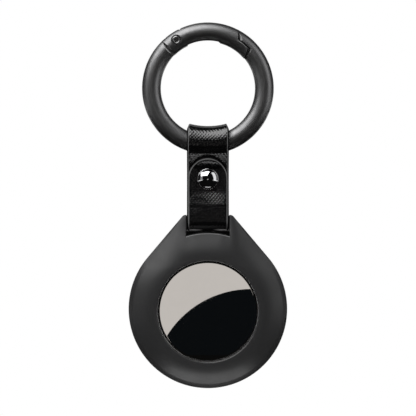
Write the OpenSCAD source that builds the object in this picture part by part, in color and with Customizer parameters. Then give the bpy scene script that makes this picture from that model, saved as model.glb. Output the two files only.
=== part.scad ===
// Tracker tag holder: a spring-gate ring, a riveted leather strap and a two-part case round a coin tracker.
// The origin is the ring's centre. X points right, Z up, and the front faces -Y. It hangs as it would in use.

/* [Ring] */
// Outer diameter of the ring
ring_d = 35; // [34:0.5:40]
// Diameter of the ring's round bar
bar_d = 5; // [4.8:0.1:5.4]
// Place of the gate's pivot round the ring, in degrees from the right
pivot_angle = 123.4; // [121:0.2:126]
// Angle that the gate swings inwards, in degrees
gate_open = 35; // [20:1:36]
// Width of the gate's slot, which takes the tongue and the spring
gate_slot_w = 2.2; // [2:0.1:2.4]
// Gap between the gate and the fixed part of the ring
gate_gap = 0.25; // [0.2:0.05:0.35]
// Diameter of the pivot rivet's shank
pivot_d = 1.6; // [1.4:0.1:1.8]
// Diameter of the pivot rivet's heads
pivot_head_d = 2.5; // [2.3:0.1:2.6]
// Wire diameter of the gate's spring
spring_wire = 0.3; // [0.25:0.05:0.35]
// Turns of the gate's spring
spring_turns = 7; // [5:1:8]

/* [Strap] */
// Width of the strap
strap_w = 11.1; // [10:0.1:12]
// Thickness of the leather
strap_t = 1.15; // [1:0.05:1.3]
// Width of the strap where it bends over the ring
strap_neck_w = 9.8; // [9:0.1:10]
// Least room between the ring's bar and the leather loop
loop_clear = 0.27; // [0.2:0.01:0.5]
// Distance from the loop's axis down to the rivet
rivet_drop = 9.65; // [9.4:0.05:11]
// Distance from the loop's axis down to the case's crossbar
crossbar_drop = 20.65; // [20:0.1:24]
// Diameter of the strap rivet's domed cap
rivet_cap_d = 5.6; // [5:0.1:6.4]
// Height of the strap rivet's domed cap
rivet_cap_h = 1.5; // [1.2:0.1:1.8]
// Diameter of the strap rivet's shank
rivet_post_d = 2.2; // [1.8:0.1:2.6]

/* [Case] */
// Width of the case round the tracker's pocket
case_rim = 4.8; // [4:0.1:6]
// Width of the case between the strap's slot and the tracker's pocket
slot_wall = 4.5; // [4:0.1:6]
// Height of the ears above the crossbar's centre
ear_rise = 1.5; // [1.5:0.05:1.8]
// Radius of the ears' corners
ear_corner = 1.2; // [1:0.05:1.4]
// Diameter of the crossbar that the strap folds round
crossbar_d = 2.8; // [2.4:0.1:3]
// Room between the steel cover and the window's edge
window_gap = 0.3; // [0.2:0.05:0.6]
// Distance from the body's centre down to the window's centre
window_down = 0.5; // [0.3:0.1:0.8]
// Thickness of the back wall
back_wall = 1.35; // [1.1:0.05:1.8]
// Thickness of the lip round the window
lip_t = 1.05; // [0.8:0.05:1.4]
// Depth of the ears' root in front of the crossbar
ear_cover = 0.3; // [0.2:0.05:0.6]
// Rounding of the back edge
back_round = 1.8; // [1.2:0.1:2.2]

/* [Coin tracker] */
// Diameter of the coin tracker
tag_d = 31.9; // [31.5:0.1:32.3]
// Thickness of the coin tracker
tag_t = 8; // [7.6:0.1:8.4]
// Width of the white border round its steel cover
steel_border = 2.85; // [2.6:0.05:3.2]
// Wall of its plastic shell
tag_wall = 0.8; // [0.7:0.05:1]
// Width of the ring between the coin cell and the steel cover's edge
cell_border = 3.1; // [2.8:0.1:4]
// Height of the coin cell
cell_h = 3.2; // [2.8:0.1:3.2]

/* [Hidden] */
$fn = 96;
overrun = 1;
layer_gap = 0.05;
face_gap = 0.1;
run_clear = 0.05;

// Ring
bar_r = bar_d / 2;
ring_r = ring_d / 2 - bar_r;
pivot_offset = 0.2;
pivot = polar(ring_r + pivot_offset, pivot_angle);
tongue_w = gate_slot_w - 2 * face_gap;
tongue_top = 0.35;
tongue_bump = 0.2;
tongue_in = 2.75;
tongue_out = 2.2;
tongue_root = 0.5;
cut_reach_share = 1.6;
gate_root_turn = -4;
body_root_turn = 13;
seam_turn = 4.2;
seam_at = 3.17;
lap_mid = 57;
lap_slant = 5;
lap_end = 44.5;
tip_slant = 5.8;
lap_mid_gap = 1.2;
lap_slant_gap = 0.2;
tip_gap = 1.1;
tip_slant_gap = 2.1;
lock_w = 1;
lock_turn = 2.4;
lock_drop = 0.5;
cam_r = 2.9;
cam_lift = 0.45;
cam_lead = 25;
fork_reach = 3.9;
spring_turn = -115;
spring_angle = pivot_angle + spring_turn;
spring_side = 0.15;
spring_d = gate_slot_w - 2 * spring_side;
slot_end = 11.1;
slot_side = spring_d / 2 + 2 * face_gap;
head_depth = 0.65;
head_floor = bar_r - head_depth;
head_t = 0.4;
head_room = 0.15;
pivot_hollow_d = 0.9;
pivot_hollow_h = 1.2;
ball_r = 0.8;
ball_gap = 0.12;
collar_t = 0.6;
shank_r = 0.5;
shank_l = 2.2;
ball_at = cam_r + ball_gap + ball_r;
spring_from = ball_at + collar_t + spring_wire / 2 + run_clear;
spring_to = slot_end - spring_wire / 2 - run_clear;
spring_r = (spring_d - spring_wire) / 2;
spring_steps = 8;
spring_sides = 6;

// Strap
ring_sag = ring_r - sqrt(pow(ring_r, 2) - pow(strap_w / 2, 2));
loop_room = ring_sag / 2 + loop_clear;
loop_z = ring_sag / 2 - ring_r;
loop_r = bar_r + loop_room + strap_t / 2;
layer = strap_t + layer_gap;
rivet_z = loop_z - rivet_drop;
crossbar_z = loop_z - crossbar_drop;
fold_room = 0.25;
fold_r = crossbar_d / 2 + fold_room + strap_t / 2;
clamp_share = 0.5;
tail_share = 0.6;
clamp_top = rivet_z + clamp_share * rivet_cap_d;
loop_start = loop_z - strap_t / 2;
tail_end = rivet_z - tail_share * rivet_cap_d;
fold_start = crossbar_z + crossbar_d / 4;
neck_z = loop_z + loop_r;
neck_full = loop_z + loop_room + bar_r;
path_steps = 12;
arc_steps = 20;
rivet_seat = layer + strap_t / 2;
rivet_back_d = 4.6;
rivet_back_t = 0.45;
rivet_socket = 0.5;

// Case
tag_side_room = 0.25;
pocket_r = tag_d / 2 + tag_side_room;
case_r = pocket_r + case_rim;
lip_room = 0.4;
slot_r = pocket_r + slot_wall;
window_z = crossbar_z - fold_r - strap_t / 2 - lip_room - slot_r;
case_z = window_z + window_down;
window_r = tag_d / 2 - steel_border + window_gap;
window_edge = 0.5;
rim_flat = 0.5;
rim_r = window_r + window_edge + rim_flat;
tag_end_room = 0.15;
case_t = back_wall + lip_t + tag_t + 2 * tag_end_room;
back_y = case_t / 2;
front_y = -case_t / 2;
split_y = -crossbar_d / 2 - ear_cover;
pocket_back = back_y - back_wall;
pocket_front = front_y + lip_t;
strap_side_room = 0.17;
channel_half = strap_w / 2 + strap_side_room;
ear_flat = 0.18;
sill_clear = 0.3;
sill_z = crossbar_z - fold_r - strap_t / 2 - layer_gap;
sill_y = sqrt(pow(fold_r + strap_t / 2 + sill_clear, 2) - pow(crossbar_z - sill_z, 2));
ear_x = channel_half + ear_flat;
ear_z = crossbar_z + ear_rise - ear_corner;
crossbar_sink = 0.5;
crease_inset = 1.2;
crease_depth = 1.3;
crease_y = split_y - crease_depth;
seam_inset = 0.05;
rim_wall = 0.5;
rim_w = 1;
rim_h = 1.6;
rim_in = pocket_r + rim_wall;
pry_angle = 8.2;
pry_w = 1.6;
pry_h = 0.5;
pry_in = 0.5;
wall_steps = 4;
dome_steps = 8;
round_steps = 6;
corner_steps = 5;
body_steps = 66;
ear_lift_share = 0.6;
dome_corner_share = 0.6;

// Coin tracker, with heights measured from the middle of the case towards the front
tag_r = tag_d / 2;
tag_front = tag_t - (pocket_back - tag_end_room);
tag_back = tag_front - tag_t;
steel_r = tag_r - steel_border;
cell_r = steel_r - cell_border;
steel_t = 0.45;
steel_skirt = 1.1;
steel_clear = 0.1;
steel_rise = 0.15;
steel_proud = 0.15;
shell_front = tag_front - steel_proud;
shell_mouth = steel_r + steel_clear;
belt = 0.6;
shell_power = 0.62;
shell_steps = 14;
cell_top = tag_front - steel_t - run_clear;
cell_bottom = cell_top - cell_h;
can_wall = 0.25;
lid_inset = 1.3;
lid_r = cell_r - lid_inset;
lid_h = 0.25;
tray_room = 0.15;
tray_top = cell_bottom - tray_room;
tray_r = steel_r;
inner_back = tag_back + tag_wall;
board_t = 0.6;
board_gap = 0.1;
board_room = 1.15;
board_top = inner_back + board_room + board_t;
tray_low = board_top + board_gap;
magnet_share = 0.36;
magnet_r = magnet_share * steel_r;
magnet_room = 0.75;
board_hole_room = 1.5;
board_in = magnet_r + board_hole_room;
board_border = 1.5;
board_out = steel_r - board_border;
coil_room = 0.3;
coil_w = 0.6;
coil_in = magnet_r + coil_room;
coil_out = coil_in + coil_w;
coil_h = 1.1;
antenna_w = 1;
antenna_h = 0.5;
antenna_in = board_out + 2 * board_gap;
contact_w = 1.6;
contact_r = lid_r - contact_w / 2;
contact_t = 0.12;
seal_wire = 0.5;
seal_r = steel_r - steel_t / 2;
seal_h = tag_front - steel_t - steel_skirt - seal_wire / 2 - run_clear;

function polar(r, a) = [r * cos(a), r * sin(a)];
function clamped(t) = max(0, min(1, t));
function eased(t) = clamped(t) * clamped(t) * (3 - 2 * clamped(t));
function reversed(list) = [for (i = [len(list) - 1:-1:0]) list[i]];

// Turns a flat shape in X and Z into a plate that lies evenly about Y = 0
module plate(thickness) {
    rotate([90, 0, 0]) linear_extrude(thickness, center = true) children();
}

// Stands a turned shape on the tracker's axis, its height towards the front
module on_tag_axis() {
    translate([0, 0, window_z]) rotate([90, 0, 0]) children();
}

// A plain washer between two heights on the tracker's axis
module washer(outer, inner, low, high) {
    on_tag_axis() rotate_extrude() polygon([[inner, low], [outer, low], [outer, high], [inner, high]]);
}

// Ring

module torus() {
    rotate([90, 0, 0]) rotate_extrude() translate([ring_r, 0]) circle(r = bar_r);
}

// Direction from the pivot to the seam, and the direction from there to the ring's inside
seam_dir = polar(1, pivot_angle + seam_turn + 90);
seam_side = polar(1, pivot_angle + seam_turn + 180);

// The rear line of the gate: straight outside the pivot, and either straight or round the pivot inside it
function rear_line(at, rounded) = concat(
    [pivot + at * seam_dir - cut_reach_share * bar_d * seam_side],
    rounded
        ? [for (t = [0:10:90]) pivot + at * (cos(t) * seam_dir + sin(t) * seam_side)]
        : [pivot + at * seam_dir + cut_reach_share * bar_r * seam_side]);

// The flat region that holds the gate, from its rear line round to its lapped tip
function gate_region(at, rounded, lap_r, nose, nose_slant, tip, slant) = let (
    low_r = ring_r - cut_reach_share * bar_r,
    high_r = ring_r + cut_reach_share * bar_r,
    root = pivot_angle + (rounded ? gate_root_turn : body_root_turn),
    low_tip = tip - cut_reach_share * slant,
    high_nose = nose + cut_reach_share * nose_slant) concat(
    rear_line(at, rounded),
    [for (i = [0:arc_steps]) polar(low_r, root + (low_tip - root) * i / arc_steps)],
    [for (i = [0:path_steps]) polar(lap_r, tip + (nose - tip) * i / path_steps)],
    [for (i = [0:arc_steps]) polar(high_r, high_nose + (pivot_angle - high_nose) * i / arc_steps)]);

// Stands a shape at the pivot with its height along the spring
module along_spring() {
    translate([pivot.x, 0, pivot.y]) rotate([0, 90 - spring_angle, 0]) children();
}

// The cam on the tongue, whose radius grows steadily over the gate's swing
module cam() {
    sweep = gate_open + 2 * cam_lead;
    translate(pivot) union() {
        circle(r = cam_r);
        polygon(concat([[0, 0]], [for (i = [0:2 * arc_steps]) let (a = cam_lead - sweep * i / (2 * arc_steps))
            polar(cam_r + cam_lift * clamped(-a / gate_open), spring_angle + a)]));
    }
}

module tongue() {
    difference() {
        plate(tongue_w) intersection() {
            difference() {
                circle(r = ring_r + bar_r - tongue_top);
                circle(r = ring_r - bar_r - tongue_bump);
            }
            union() {
                cam();
                polygon([
                    pivot - tongue_out * seam_side,
                    pivot - tongue_out * seam_side + (seam_at + tongue_root) * seam_dir,
                    pivot + tongue_in * seam_side + (seam_at + tongue_root) * seam_dir,
                    pivot + tongue_in * seam_side]);
            }
        }
        pivot_bore(pivot_d);
    }
}

module pivot_bore(d) {
    translate([pivot.x, 0, pivot.y]) rotate([90, 0, 0]) cylinder(d = d, h = 2 * bar_d, center = true);
}

// The fixed nose has a rib in its middle, which closes the lap, and the gate has a groove over it
module beside_rib(rib_w) {
    for (side = [-1, 1]) translate([0, side * (bar_d + rib_w / 2), 0]) plate(2 * bar_d) children();
}

module gate_room(turn, drop) {
    polygon(gate_region(seam_at + gate_gap / 2, false, ring_r + gate_gap - drop,
        lap_mid - lap_mid_gap + turn, lap_slant + lap_slant_gap,
        lap_end - tip_gap + turn, tip_slant + tip_slant_gap));
}

module gate_face(turn, drop) {
    polygon(gate_region(seam_at - gate_gap / 2, true, ring_r - drop,
        lap_mid + turn, lap_slant, lap_end + turn, tip_slant));
}

module ring_body() {
    color("dimgray") union() {
        difference() {
            torus();
            plate(2 * bar_d) gate_room(lock_turn, lock_drop);
            beside_rib(lock_w) gate_room(0, 0);
        }
        tongue();
    }
}

module ring_gate() {
    color("dimgray") difference() {
        intersection() {
            torus();
            union() {
                plate(2 * bar_d) gate_face(lock_turn, lock_drop);
                beside_rib(lock_w + 2 * face_gap) gate_face(0, 0);
            }
        }
        along_spring() union() {
            translate([-bar_d, -gate_slot_w / 2, -bar_d]) cube([2 * bar_d, gate_slot_w, bar_d + fork_reach]);
            translate([-slot_side, -gate_slot_w / 2, 0])
                cube([bar_d + slot_side, gate_slot_w, slot_end]);
        }
        pivot_bore(pivot_d + 2 * run_clear);
        for (side = [-1, 1]) translate([pivot.x, side * (head_floor + bar_d / 2), pivot.y])
            rotate([90, 0, 0]) cylinder(d = pivot_head_d + 2 * head_room, h = bar_d, center = true);
    }
}

module gate_pivot_rivet() {
    head_top = head_floor + run_clear + head_t;
    color("gray") translate([pivot.x, 0, pivot.y]) rotate([90, 0, 0]) difference() {
        union() {
            cylinder(d = pivot_d, h = 2 * head_top, center = true);
            for (side = [-1, 1]) translate([0, 0, side * (head_top - head_t / 2)])
                cylinder(d = pivot_head_d, h = head_t, center = true);
        }
        for (side = [-1, 1]) translate([0, 0, side * head_top])
            cylinder(d = pivot_hollow_d, h = 2 * pivot_hollow_h, center = true);
    }
}

module gate_plunger() {
    color("silver") along_spring() union() {
        translate([0, 0, ball_at]) sphere(r = ball_r);
        translate([0, 0, ball_at]) cylinder(r = spring_d / 2, h = collar_t);
        translate([0, 0, ball_at]) cylinder(r = shank_r, h = collar_t + shank_l);
    }
}

// Centre of the wire at step i
function wire_at(i) = let (a = 360 * i / spring_steps) [
    spring_r * cos(a), spring_r * sin(a),
    spring_from + (spring_to - spring_from) * i / (spring_turns * spring_steps)];

module gate_spring() {
    steps = spring_turns * spring_steps;
    rings = [for (i = [0:steps]) let (a = 360 * i / spring_steps, c = wire_at(i))
        for (j = [0:spring_sides - 1]) let (b = 360 * j / spring_sides)
            c + spring_wire / 2 * [cos(b) * cos(a), cos(b) * sin(a), sin(b)]];
    sides = [for (i = [0:steps - 1]) for (j = [0:spring_sides - 1]) let (
        k = (j + 1) % spring_sides,
        a = i * spring_sides + j, b = i * spring_sides + k,
        c = a + spring_sides, d = b + spring_sides) each [[a, b, d], [a, d, c]]];
    first = [for (j = [1:spring_sides - 2]) [0, j + 1, j]];
    last_at = steps * spring_sides;
    last = [for (j = [1:spring_sides - 2]) [last_at, last_at + j, last_at + j + 1]];
    gaps = [for (i = [0:steps - spring_steps]) norm(wire_at(i + spring_steps) - wire_at(i)) - spring_wire];
    echo(least_spring_gap = min(gaps));
    color("silver") along_spring() polyhedron(points = rings, faces = concat(sides, first, last));
}

// Strap, as a path in Y and Z

// Centre of the layer that comes down from the ring in front, at height z
function tail_y(z) = -loop_r * eased((z - clamp_top) / (loop_start - clamp_top));
function tail_slope(z) = (tail_y(z + layer_gap) - tail_y(z - layer_gap)) / (2 * layer_gap);
// Centre of the flap, one layer in front of the tail
function flap_y(z) = tail_y(z) - layer * sqrt(1 + pow(tail_slope(z), 2));
// Distance of the two long layers from the middle, between the rivet and the fold
function fold_y(z) = layer + (fold_r - layer) * eased((tail_end - z) / (tail_end - fold_start));
function back_layer_y(z) = layer + (loop_r - layer) * eased((z - clamp_top) / (loop_start - clamp_top));

function heights(a, b) = [for (i = [0:path_steps]) a + (b - a) * i / path_steps];

flap_top = rivet_z + strap_w / 2;
flap_path = [for (z = heights(flap_top + strap_t, rivet_z)) [flap_y(z), z]];
strap_path = concat(
    [[-layer, rivet_z]],
    [for (z = heights(tail_end, fold_start)) [-fold_y(z), z]],
    [for (i = [0:arc_steps]) [0, crossbar_z] + polar(fold_r, 180 + 180 * i / arc_steps)],
    [for (z = heights(fold_start, tail_end)) [fold_y(z), z]],
    [for (z = heights(clamp_top, loop_start)) [back_layer_y(z), z]],
    [for (i = [0:arc_steps]) [0, loop_z] + polar(loop_r, 180 * i / arc_steps)],
    [for (z = heights(loop_start, clamp_top)) [tail_y(z), z]],
    [[0, tail_end]]);

function unit(v) = v / norm(v);
function across(path, i) = let (
    ahead = unit(path[min(i + 1, len(path) - 1)] - path[max(i - 1, 0)])) [-ahead.y, ahead.x];
function ribbon(path, t) = concat(
    [for (i = [0:len(path) - 1]) path[i] + across(path, i) * t / 2],
    reversed([for (i = [0:len(path) - 1]) path[i] - across(path, i) * t / 2]));

module strip(path) {
    rotate([90, 0, 90]) linear_extrude(strap_w, center = true) polygon(ribbon(path, strap_t));
}

module strap() {
    color("black") difference() {
        union() {
            intersection() {
                strip(flap_path);
                plate(2 * case_t) union() {
                    translate([0, rivet_z]) circle(d = strap_w);
                    translate([-strap_w / 2, rivet_z - strap_w]) square([strap_w, strap_w]);
                }
            }
            intersection() {
                strip(strap_path);
                plate(2 * case_t) polygon([
                    [-strap_w / 2, window_z], [strap_w / 2, window_z], [strap_w / 2, neck_full],
                    [strap_neck_w / 2, neck_z + strap_t], [-strap_neck_w / 2, neck_z + strap_t],
                    [-strap_w / 2, neck_full]]);
            }
        }
        translate([0, 0, rivet_z]) rotate([90, 0, 0])
            cylinder(d = rivet_post_d, h = case_t, center = true);
    }
}

module rivet_cap() {
    cap_r = rivet_cap_d / 2;
    ball = (pow(cap_r, 2) + pow(rivet_cap_h, 2)) / (2 * rivet_cap_h);
    color("black") translate([0, -rivet_seat, rivet_z]) rotate([90, 0, 0]) difference() {
        intersection() {
            translate([0, 0, rivet_cap_h - ball]) sphere(r = ball);
            cylinder(r = cap_r, h = rivet_cap_h + overrun);
        }
        translate([0, 0, -overrun]) cylinder(d = rivet_post_d, h = overrun + rivet_socket);
    }
}

module rivet_post() {
    color("black") translate([0, 0, rivet_z]) rotate([-90, 0, 0]) union() {
        translate([0, 0, -rivet_seat - rivet_socket])
            cylinder(d = rivet_post_d, h = 2 * rivet_seat + rivet_socket);
        translate([0, 0, rivet_seat]) cylinder(d = rivet_back_d, h = rivet_back_t);
    }
}

// Case

// Outline of the case in X and Z: a round body with straight shoulders up to two rounded corners
function tear(r, z, corner_x, corner_z, corner_r) = let (
    lean = atan2(corner_z - z, corner_x),
    apart = norm([corner_x, corner_z - z]),
    start = lean - acos(min(1, (r - corner_r) / apart)),
    turn = 90 - start) concat(
    [for (i = [0:corner_steps]) [corner_x, corner_z] + polar(corner_r, start + turn * i / corner_steps)],
    [for (i = [0:corner_steps]) [-corner_x, corner_z] + polar(corner_r, 90 + turn * i / corner_steps)],
    [for (i = [1:body_steps - 1]) [0, z] + polar(r, 180 - start + (180 + 2 * start) * i / body_steps)]);

// One section of a shell: its place in Y and its outline, drawn in by inset
function wall_section(y, inset, ear_down) = [y,
    tear(case_r - inset, case_z, ear_x, ear_z - ear_down, ear_corner)];

// A section of the domed front, from the crease at 0 to the window's rim at 1
function dome_section(u) = let (
    corner_r = ear_corner + (dome_corner_share * rim_r - ear_corner) * u,
    top = (ear_z + ear_corner) * (1 - u) + (window_z + rim_r) * u) [
    crease_y + (front_y - crease_y) * sin(90 * u),
    tear((case_r - crease_inset) * (1 - u) + rim_r * u, case_z * (1 - u) + window_z * u,
        ear_x * (1 - u) + window_edge * u, top - corner_r, corner_r)];

// A solid through a list of sections, from the back one to the front one
module loft(sections) {
    n = len(sections[0][1]);
    points = [for (s = sections) for (p = s[1]) [p.x, s[0], p.y]];
    sides = [for (k = [0:len(sections) - 2]) for (i = [0:n - 1]) let (
        j = (i + 1) % n, a = k * n + i, b = k * n + j) each [[a, a + n, b + n], [a, b + n, b]]];
    back = [[for (i = [0:n - 1]) i]];
    front = [[for (i = [n - 1:-1:0]) (len(sections) - 1) * n + i]];
    polyhedron(points = points, faces = concat(sides, back, front));
}

// The channel that the strap hangs in, with its lower lip round the window
module channel() {
    plate(2 * case_t) difference() {
        translate([-channel_half, window_z]) square([2 * channel_half, 2 * case_r]);
        translate([0, window_z]) circle(r = slot_r);
    }
}

module case_base() {
    floor_h = -pocket_back;
    groove = run_clear;
    sections = concat(
        [for (i = [0:round_steps]) let (t = 90 * i / round_steps, inset = back_round * (1 - sin(t)))
            wall_section(back_y - back_round * (1 - cos(t)), inset, ear_lift_share * inset)],
        [wall_section(split_y, 0, 0)]);
    color("dimgray") union() {
        difference() {
            loft(sections);
            difference() {
                channel();
                translate([-case_r, sill_y, sill_z - case_r]) cube([2 * case_r, case_t, case_r]);
            }
            on_tag_axis() union() {
                translate([0, 0, floor_h]) cylinder(r = pocket_r, h = case_t);
                difference() {
                    translate([0, 0, -split_y - rim_h - face_gap])
                        cylinder(r = rim_in + rim_w + groove, h = case_t);
                    cylinder(r = rim_in - groove, h = 2 * case_t, center = true);
                }
            }
        }
        translate([0, 0, crossbar_z]) rotate([0, 90, 0])
            cylinder(d = crossbar_d, h = 2 * (channel_half + crossbar_sink), center = true);
    }
}

module window_cutter() {
    cylinder(r = window_r, h = case_t);
    translate([0, 0, -front_y]) rotate_extrude() difference() {
        translate([window_r - window_edge, -window_edge]) square([2 * window_edge, window_edge + overrun]);
        translate([window_r + window_edge, -window_edge]) circle(r = window_edge);
        translate([window_r + window_edge, -window_edge]) square(2 * window_edge);
    }
}

module case_front() {
    sections = concat(
        [for (i = [0:wall_steps - 1]) let (t = i / wall_steps)
            wall_section(split_y - crease_depth * t, seam_inset + (crease_inset - seam_inset) * pow(t, 2), 0)],
        [for (i = [0:dome_steps]) dome_section(i / dome_steps)]);
    color("dimgray") union() {
        difference() {
            loft(sections);
            channel();
            on_tag_axis() union() {
                translate([0, 0, -split_y - overrun]) cylinder(r = pocket_r, h = overrun + split_y - pocket_front);
                window_cutter();
            }
            translate([0, 0, case_z]) rotate([0, pry_angle, 0])
                translate([case_r - pry_in, split_y - pry_h, -pry_w / 2]) cube([2 * pry_in, 2 * pry_h, pry_w]);
        }
        washer(rim_in + rim_w, rim_in, -split_y - rim_h, -split_y + overrun);
    }
}

// Coin tracker

// Profile of the rounded shell at angle t from its belt, for a radius and the rise to one face
function shell_point(r, rise, t) = [r * pow(cos(t), shell_power), belt + rise * pow(sin(t), shell_power)];

function shell_profile(r, front, back, t_end) = concat(
    [for (i = [0:shell_steps]) shell_point(r, back - belt, 90 - 90 * i / shell_steps)],
    [for (i = [1:shell_steps]) shell_point(r, front - belt, t_end * i / shell_steps)]);

module tag_housing() {
    color("white") on_tag_axis() difference() {
        rotate_extrude() intersection() {
            polygon(concat(shell_profile(tag_r, shell_front, tag_back, 90)));
            translate([0, tag_back]) square([tag_r, shell_front - tag_back]);
        }
        rotate_extrude() intersection() {
            polygon(shell_profile(tag_r - tag_wall, shell_front, inner_back, 90));
            translate([0, inner_back]) square([tag_r, cell_top - 2 * steel_skirt - inner_back]);
        }
        translate([0, 0, cell_bottom]) cylinder(r = shell_mouth, h = tag_t);
    }
}

module battery_cover() {
    inner_r = steel_r - steel_t;
    inner_top = tag_front - steel_t;
    skirt_end = inner_top - steel_skirt;
    crown = [for (i = [shell_steps:-1:0]) let (t = i / shell_steps) [steel_r * t, tag_front - steel_rise * t * t]];
    color("silver") on_tag_axis() rotate_extrude() polygon(concat(
        [[0, inner_top], [inner_r, inner_top], [inner_r, skirt_end], [steel_r, skirt_end]], crown));
}

module cover_seal() {
    color("black") on_tag_axis() rotate_extrude() translate([seal_r, seal_h]) circle(d = seal_wire);
}

module tag_tray() {
    color("gainsboro") union() {
        washer(tray_r, magnet_r + run_clear, tray_low, tray_top);
        washer(tray_r, cell_r + tray_room, tray_top - run_clear, seal_h - seal_wire / 2 - run_clear);
    }
}

module circuit_board() {
    color("darkgreen") washer(board_out, board_in, board_top - board_t, board_top);
}

module antenna_ring() {
    color("gold") washer(antenna_in + antenna_w, antenna_in, board_top - antenna_h, board_top);
}

module speaker_magnet() {
    color("gray") washer(magnet_r, 0, inner_back + magnet_room, tray_top);
}

module voice_coil() {
    color("chocolate") washer(coil_out, coil_in, inner_back + run_clear, inner_back + coil_h);
}

module battery_contacts() {
    color("gold") on_tag_axis() for (a = [90, 210, 330]) rotate(a)
        translate([contact_r, -contact_w / 2, tray_top]) cube([contact_w, contact_w, contact_t]);
}

module battery_can() {
    color("silver") on_tag_axis() difference() {
        translate([0, 0, cell_bottom + lid_h]) cylinder(r = cell_r, h = cell_h - lid_h);
        translate([0, 0, cell_bottom]) cylinder(r = cell_r - can_wall, h = cell_h - can_wall);
    }
}

module battery_lid() {
    color("silver") washer(lid_r, 0, cell_bottom, cell_top - can_wall - run_clear);
}

module battery_gasket() {
    color("black") washer(cell_r - can_wall, lid_r, cell_bottom + lid_h, cell_top - can_wall - run_clear);
}

ring_body();
ring_gate();
gate_pivot_rivet();
gate_plunger();
gate_spring();
strap();
rivet_cap();
rivet_post();
case_base();
case_front();
tag_housing();
battery_cover();
cover_seal();
tag_tray();
circuit_board();
antenna_ring();
speaker_magnet();
voice_coil();
battery_contacts();
battery_can();
battery_lid();
battery_gasket();
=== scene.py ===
"""Dresses the tracker tag holder: a spring-gate ring, a riveted leather strap and a case round a coin tracker.

Every size is in millimetres and is turned to metres where a mesh is made. X points right, Z up, and the window
faces -Y. The origin is the ring's centre, as in the CAD model.
"""

import logging
import math
from dataclasses import dataclass, field
from enum import Enum
from typing import Callable, Iterable, Sequence

import bmesh
import bpy
from mathutils import Matrix, Vector


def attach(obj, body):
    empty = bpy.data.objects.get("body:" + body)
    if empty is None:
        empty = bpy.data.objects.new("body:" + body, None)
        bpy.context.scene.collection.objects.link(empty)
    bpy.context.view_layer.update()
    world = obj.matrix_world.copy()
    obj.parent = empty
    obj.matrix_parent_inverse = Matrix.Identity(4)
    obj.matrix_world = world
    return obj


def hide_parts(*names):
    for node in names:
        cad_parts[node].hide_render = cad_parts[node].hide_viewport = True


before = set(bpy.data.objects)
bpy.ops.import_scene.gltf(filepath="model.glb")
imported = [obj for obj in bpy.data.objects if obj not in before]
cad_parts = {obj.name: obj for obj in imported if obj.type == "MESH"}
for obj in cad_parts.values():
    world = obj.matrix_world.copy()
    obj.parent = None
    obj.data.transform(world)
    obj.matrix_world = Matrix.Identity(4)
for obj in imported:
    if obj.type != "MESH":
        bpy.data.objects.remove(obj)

log = logging.getLogger("tag_holder")

MM = 0.001
Flat = tuple[float, float]
Solid = tuple[float, float, float]


# ---------------------------------------------------------------- flat geometry


def polar(radius: float, angle: float) -> Flat:
    """Gives the point at a radius and an angle in degrees."""
    turn = math.radians(angle)
    return radius * math.cos(turn), radius * math.sin(turn)


def span(start: float, end: float, steps: int) -> list[float]:
    """Gives steps + 1 even values from start to end."""
    return [start + (end - start) * i / steps for i in range(steps + 1)]


def mix(start: float, end: float, share: float) -> float:
    """Gives the value that lies the given share of the way from start to end."""
    return start + (end - start) * share


def eased(share: float) -> float:
    """Gives a share held between 0 and 1 that starts and ends softly."""
    held = max(0.0, min(1.0, share))
    return held * held * (3 - 2 * held)


def arc(centre: Flat, radius: float, angles: Iterable[float]) -> list[Flat]:
    """Gives the points of a circle at the given angles in degrees."""
    return [(centre[0] + a, centre[1] + b) for a, b in (polar(radius, t) for t in angles)]


def circle(radius: float, steps: int, centre: Flat = (0.0, 0.0)) -> list[Flat]:
    """Gives the corners of a round outline."""
    return arc(centre, radius, (360 * i / steps for i in range(steps)))


# ---------------------------------------------------------------- modelling tools


class Boolean(Enum):
    """What a tool solid does to the solid it meets."""

    CUT = "DIFFERENCE"
    KEEP = "INTERSECT"
    JOIN = "UNION"


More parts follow.
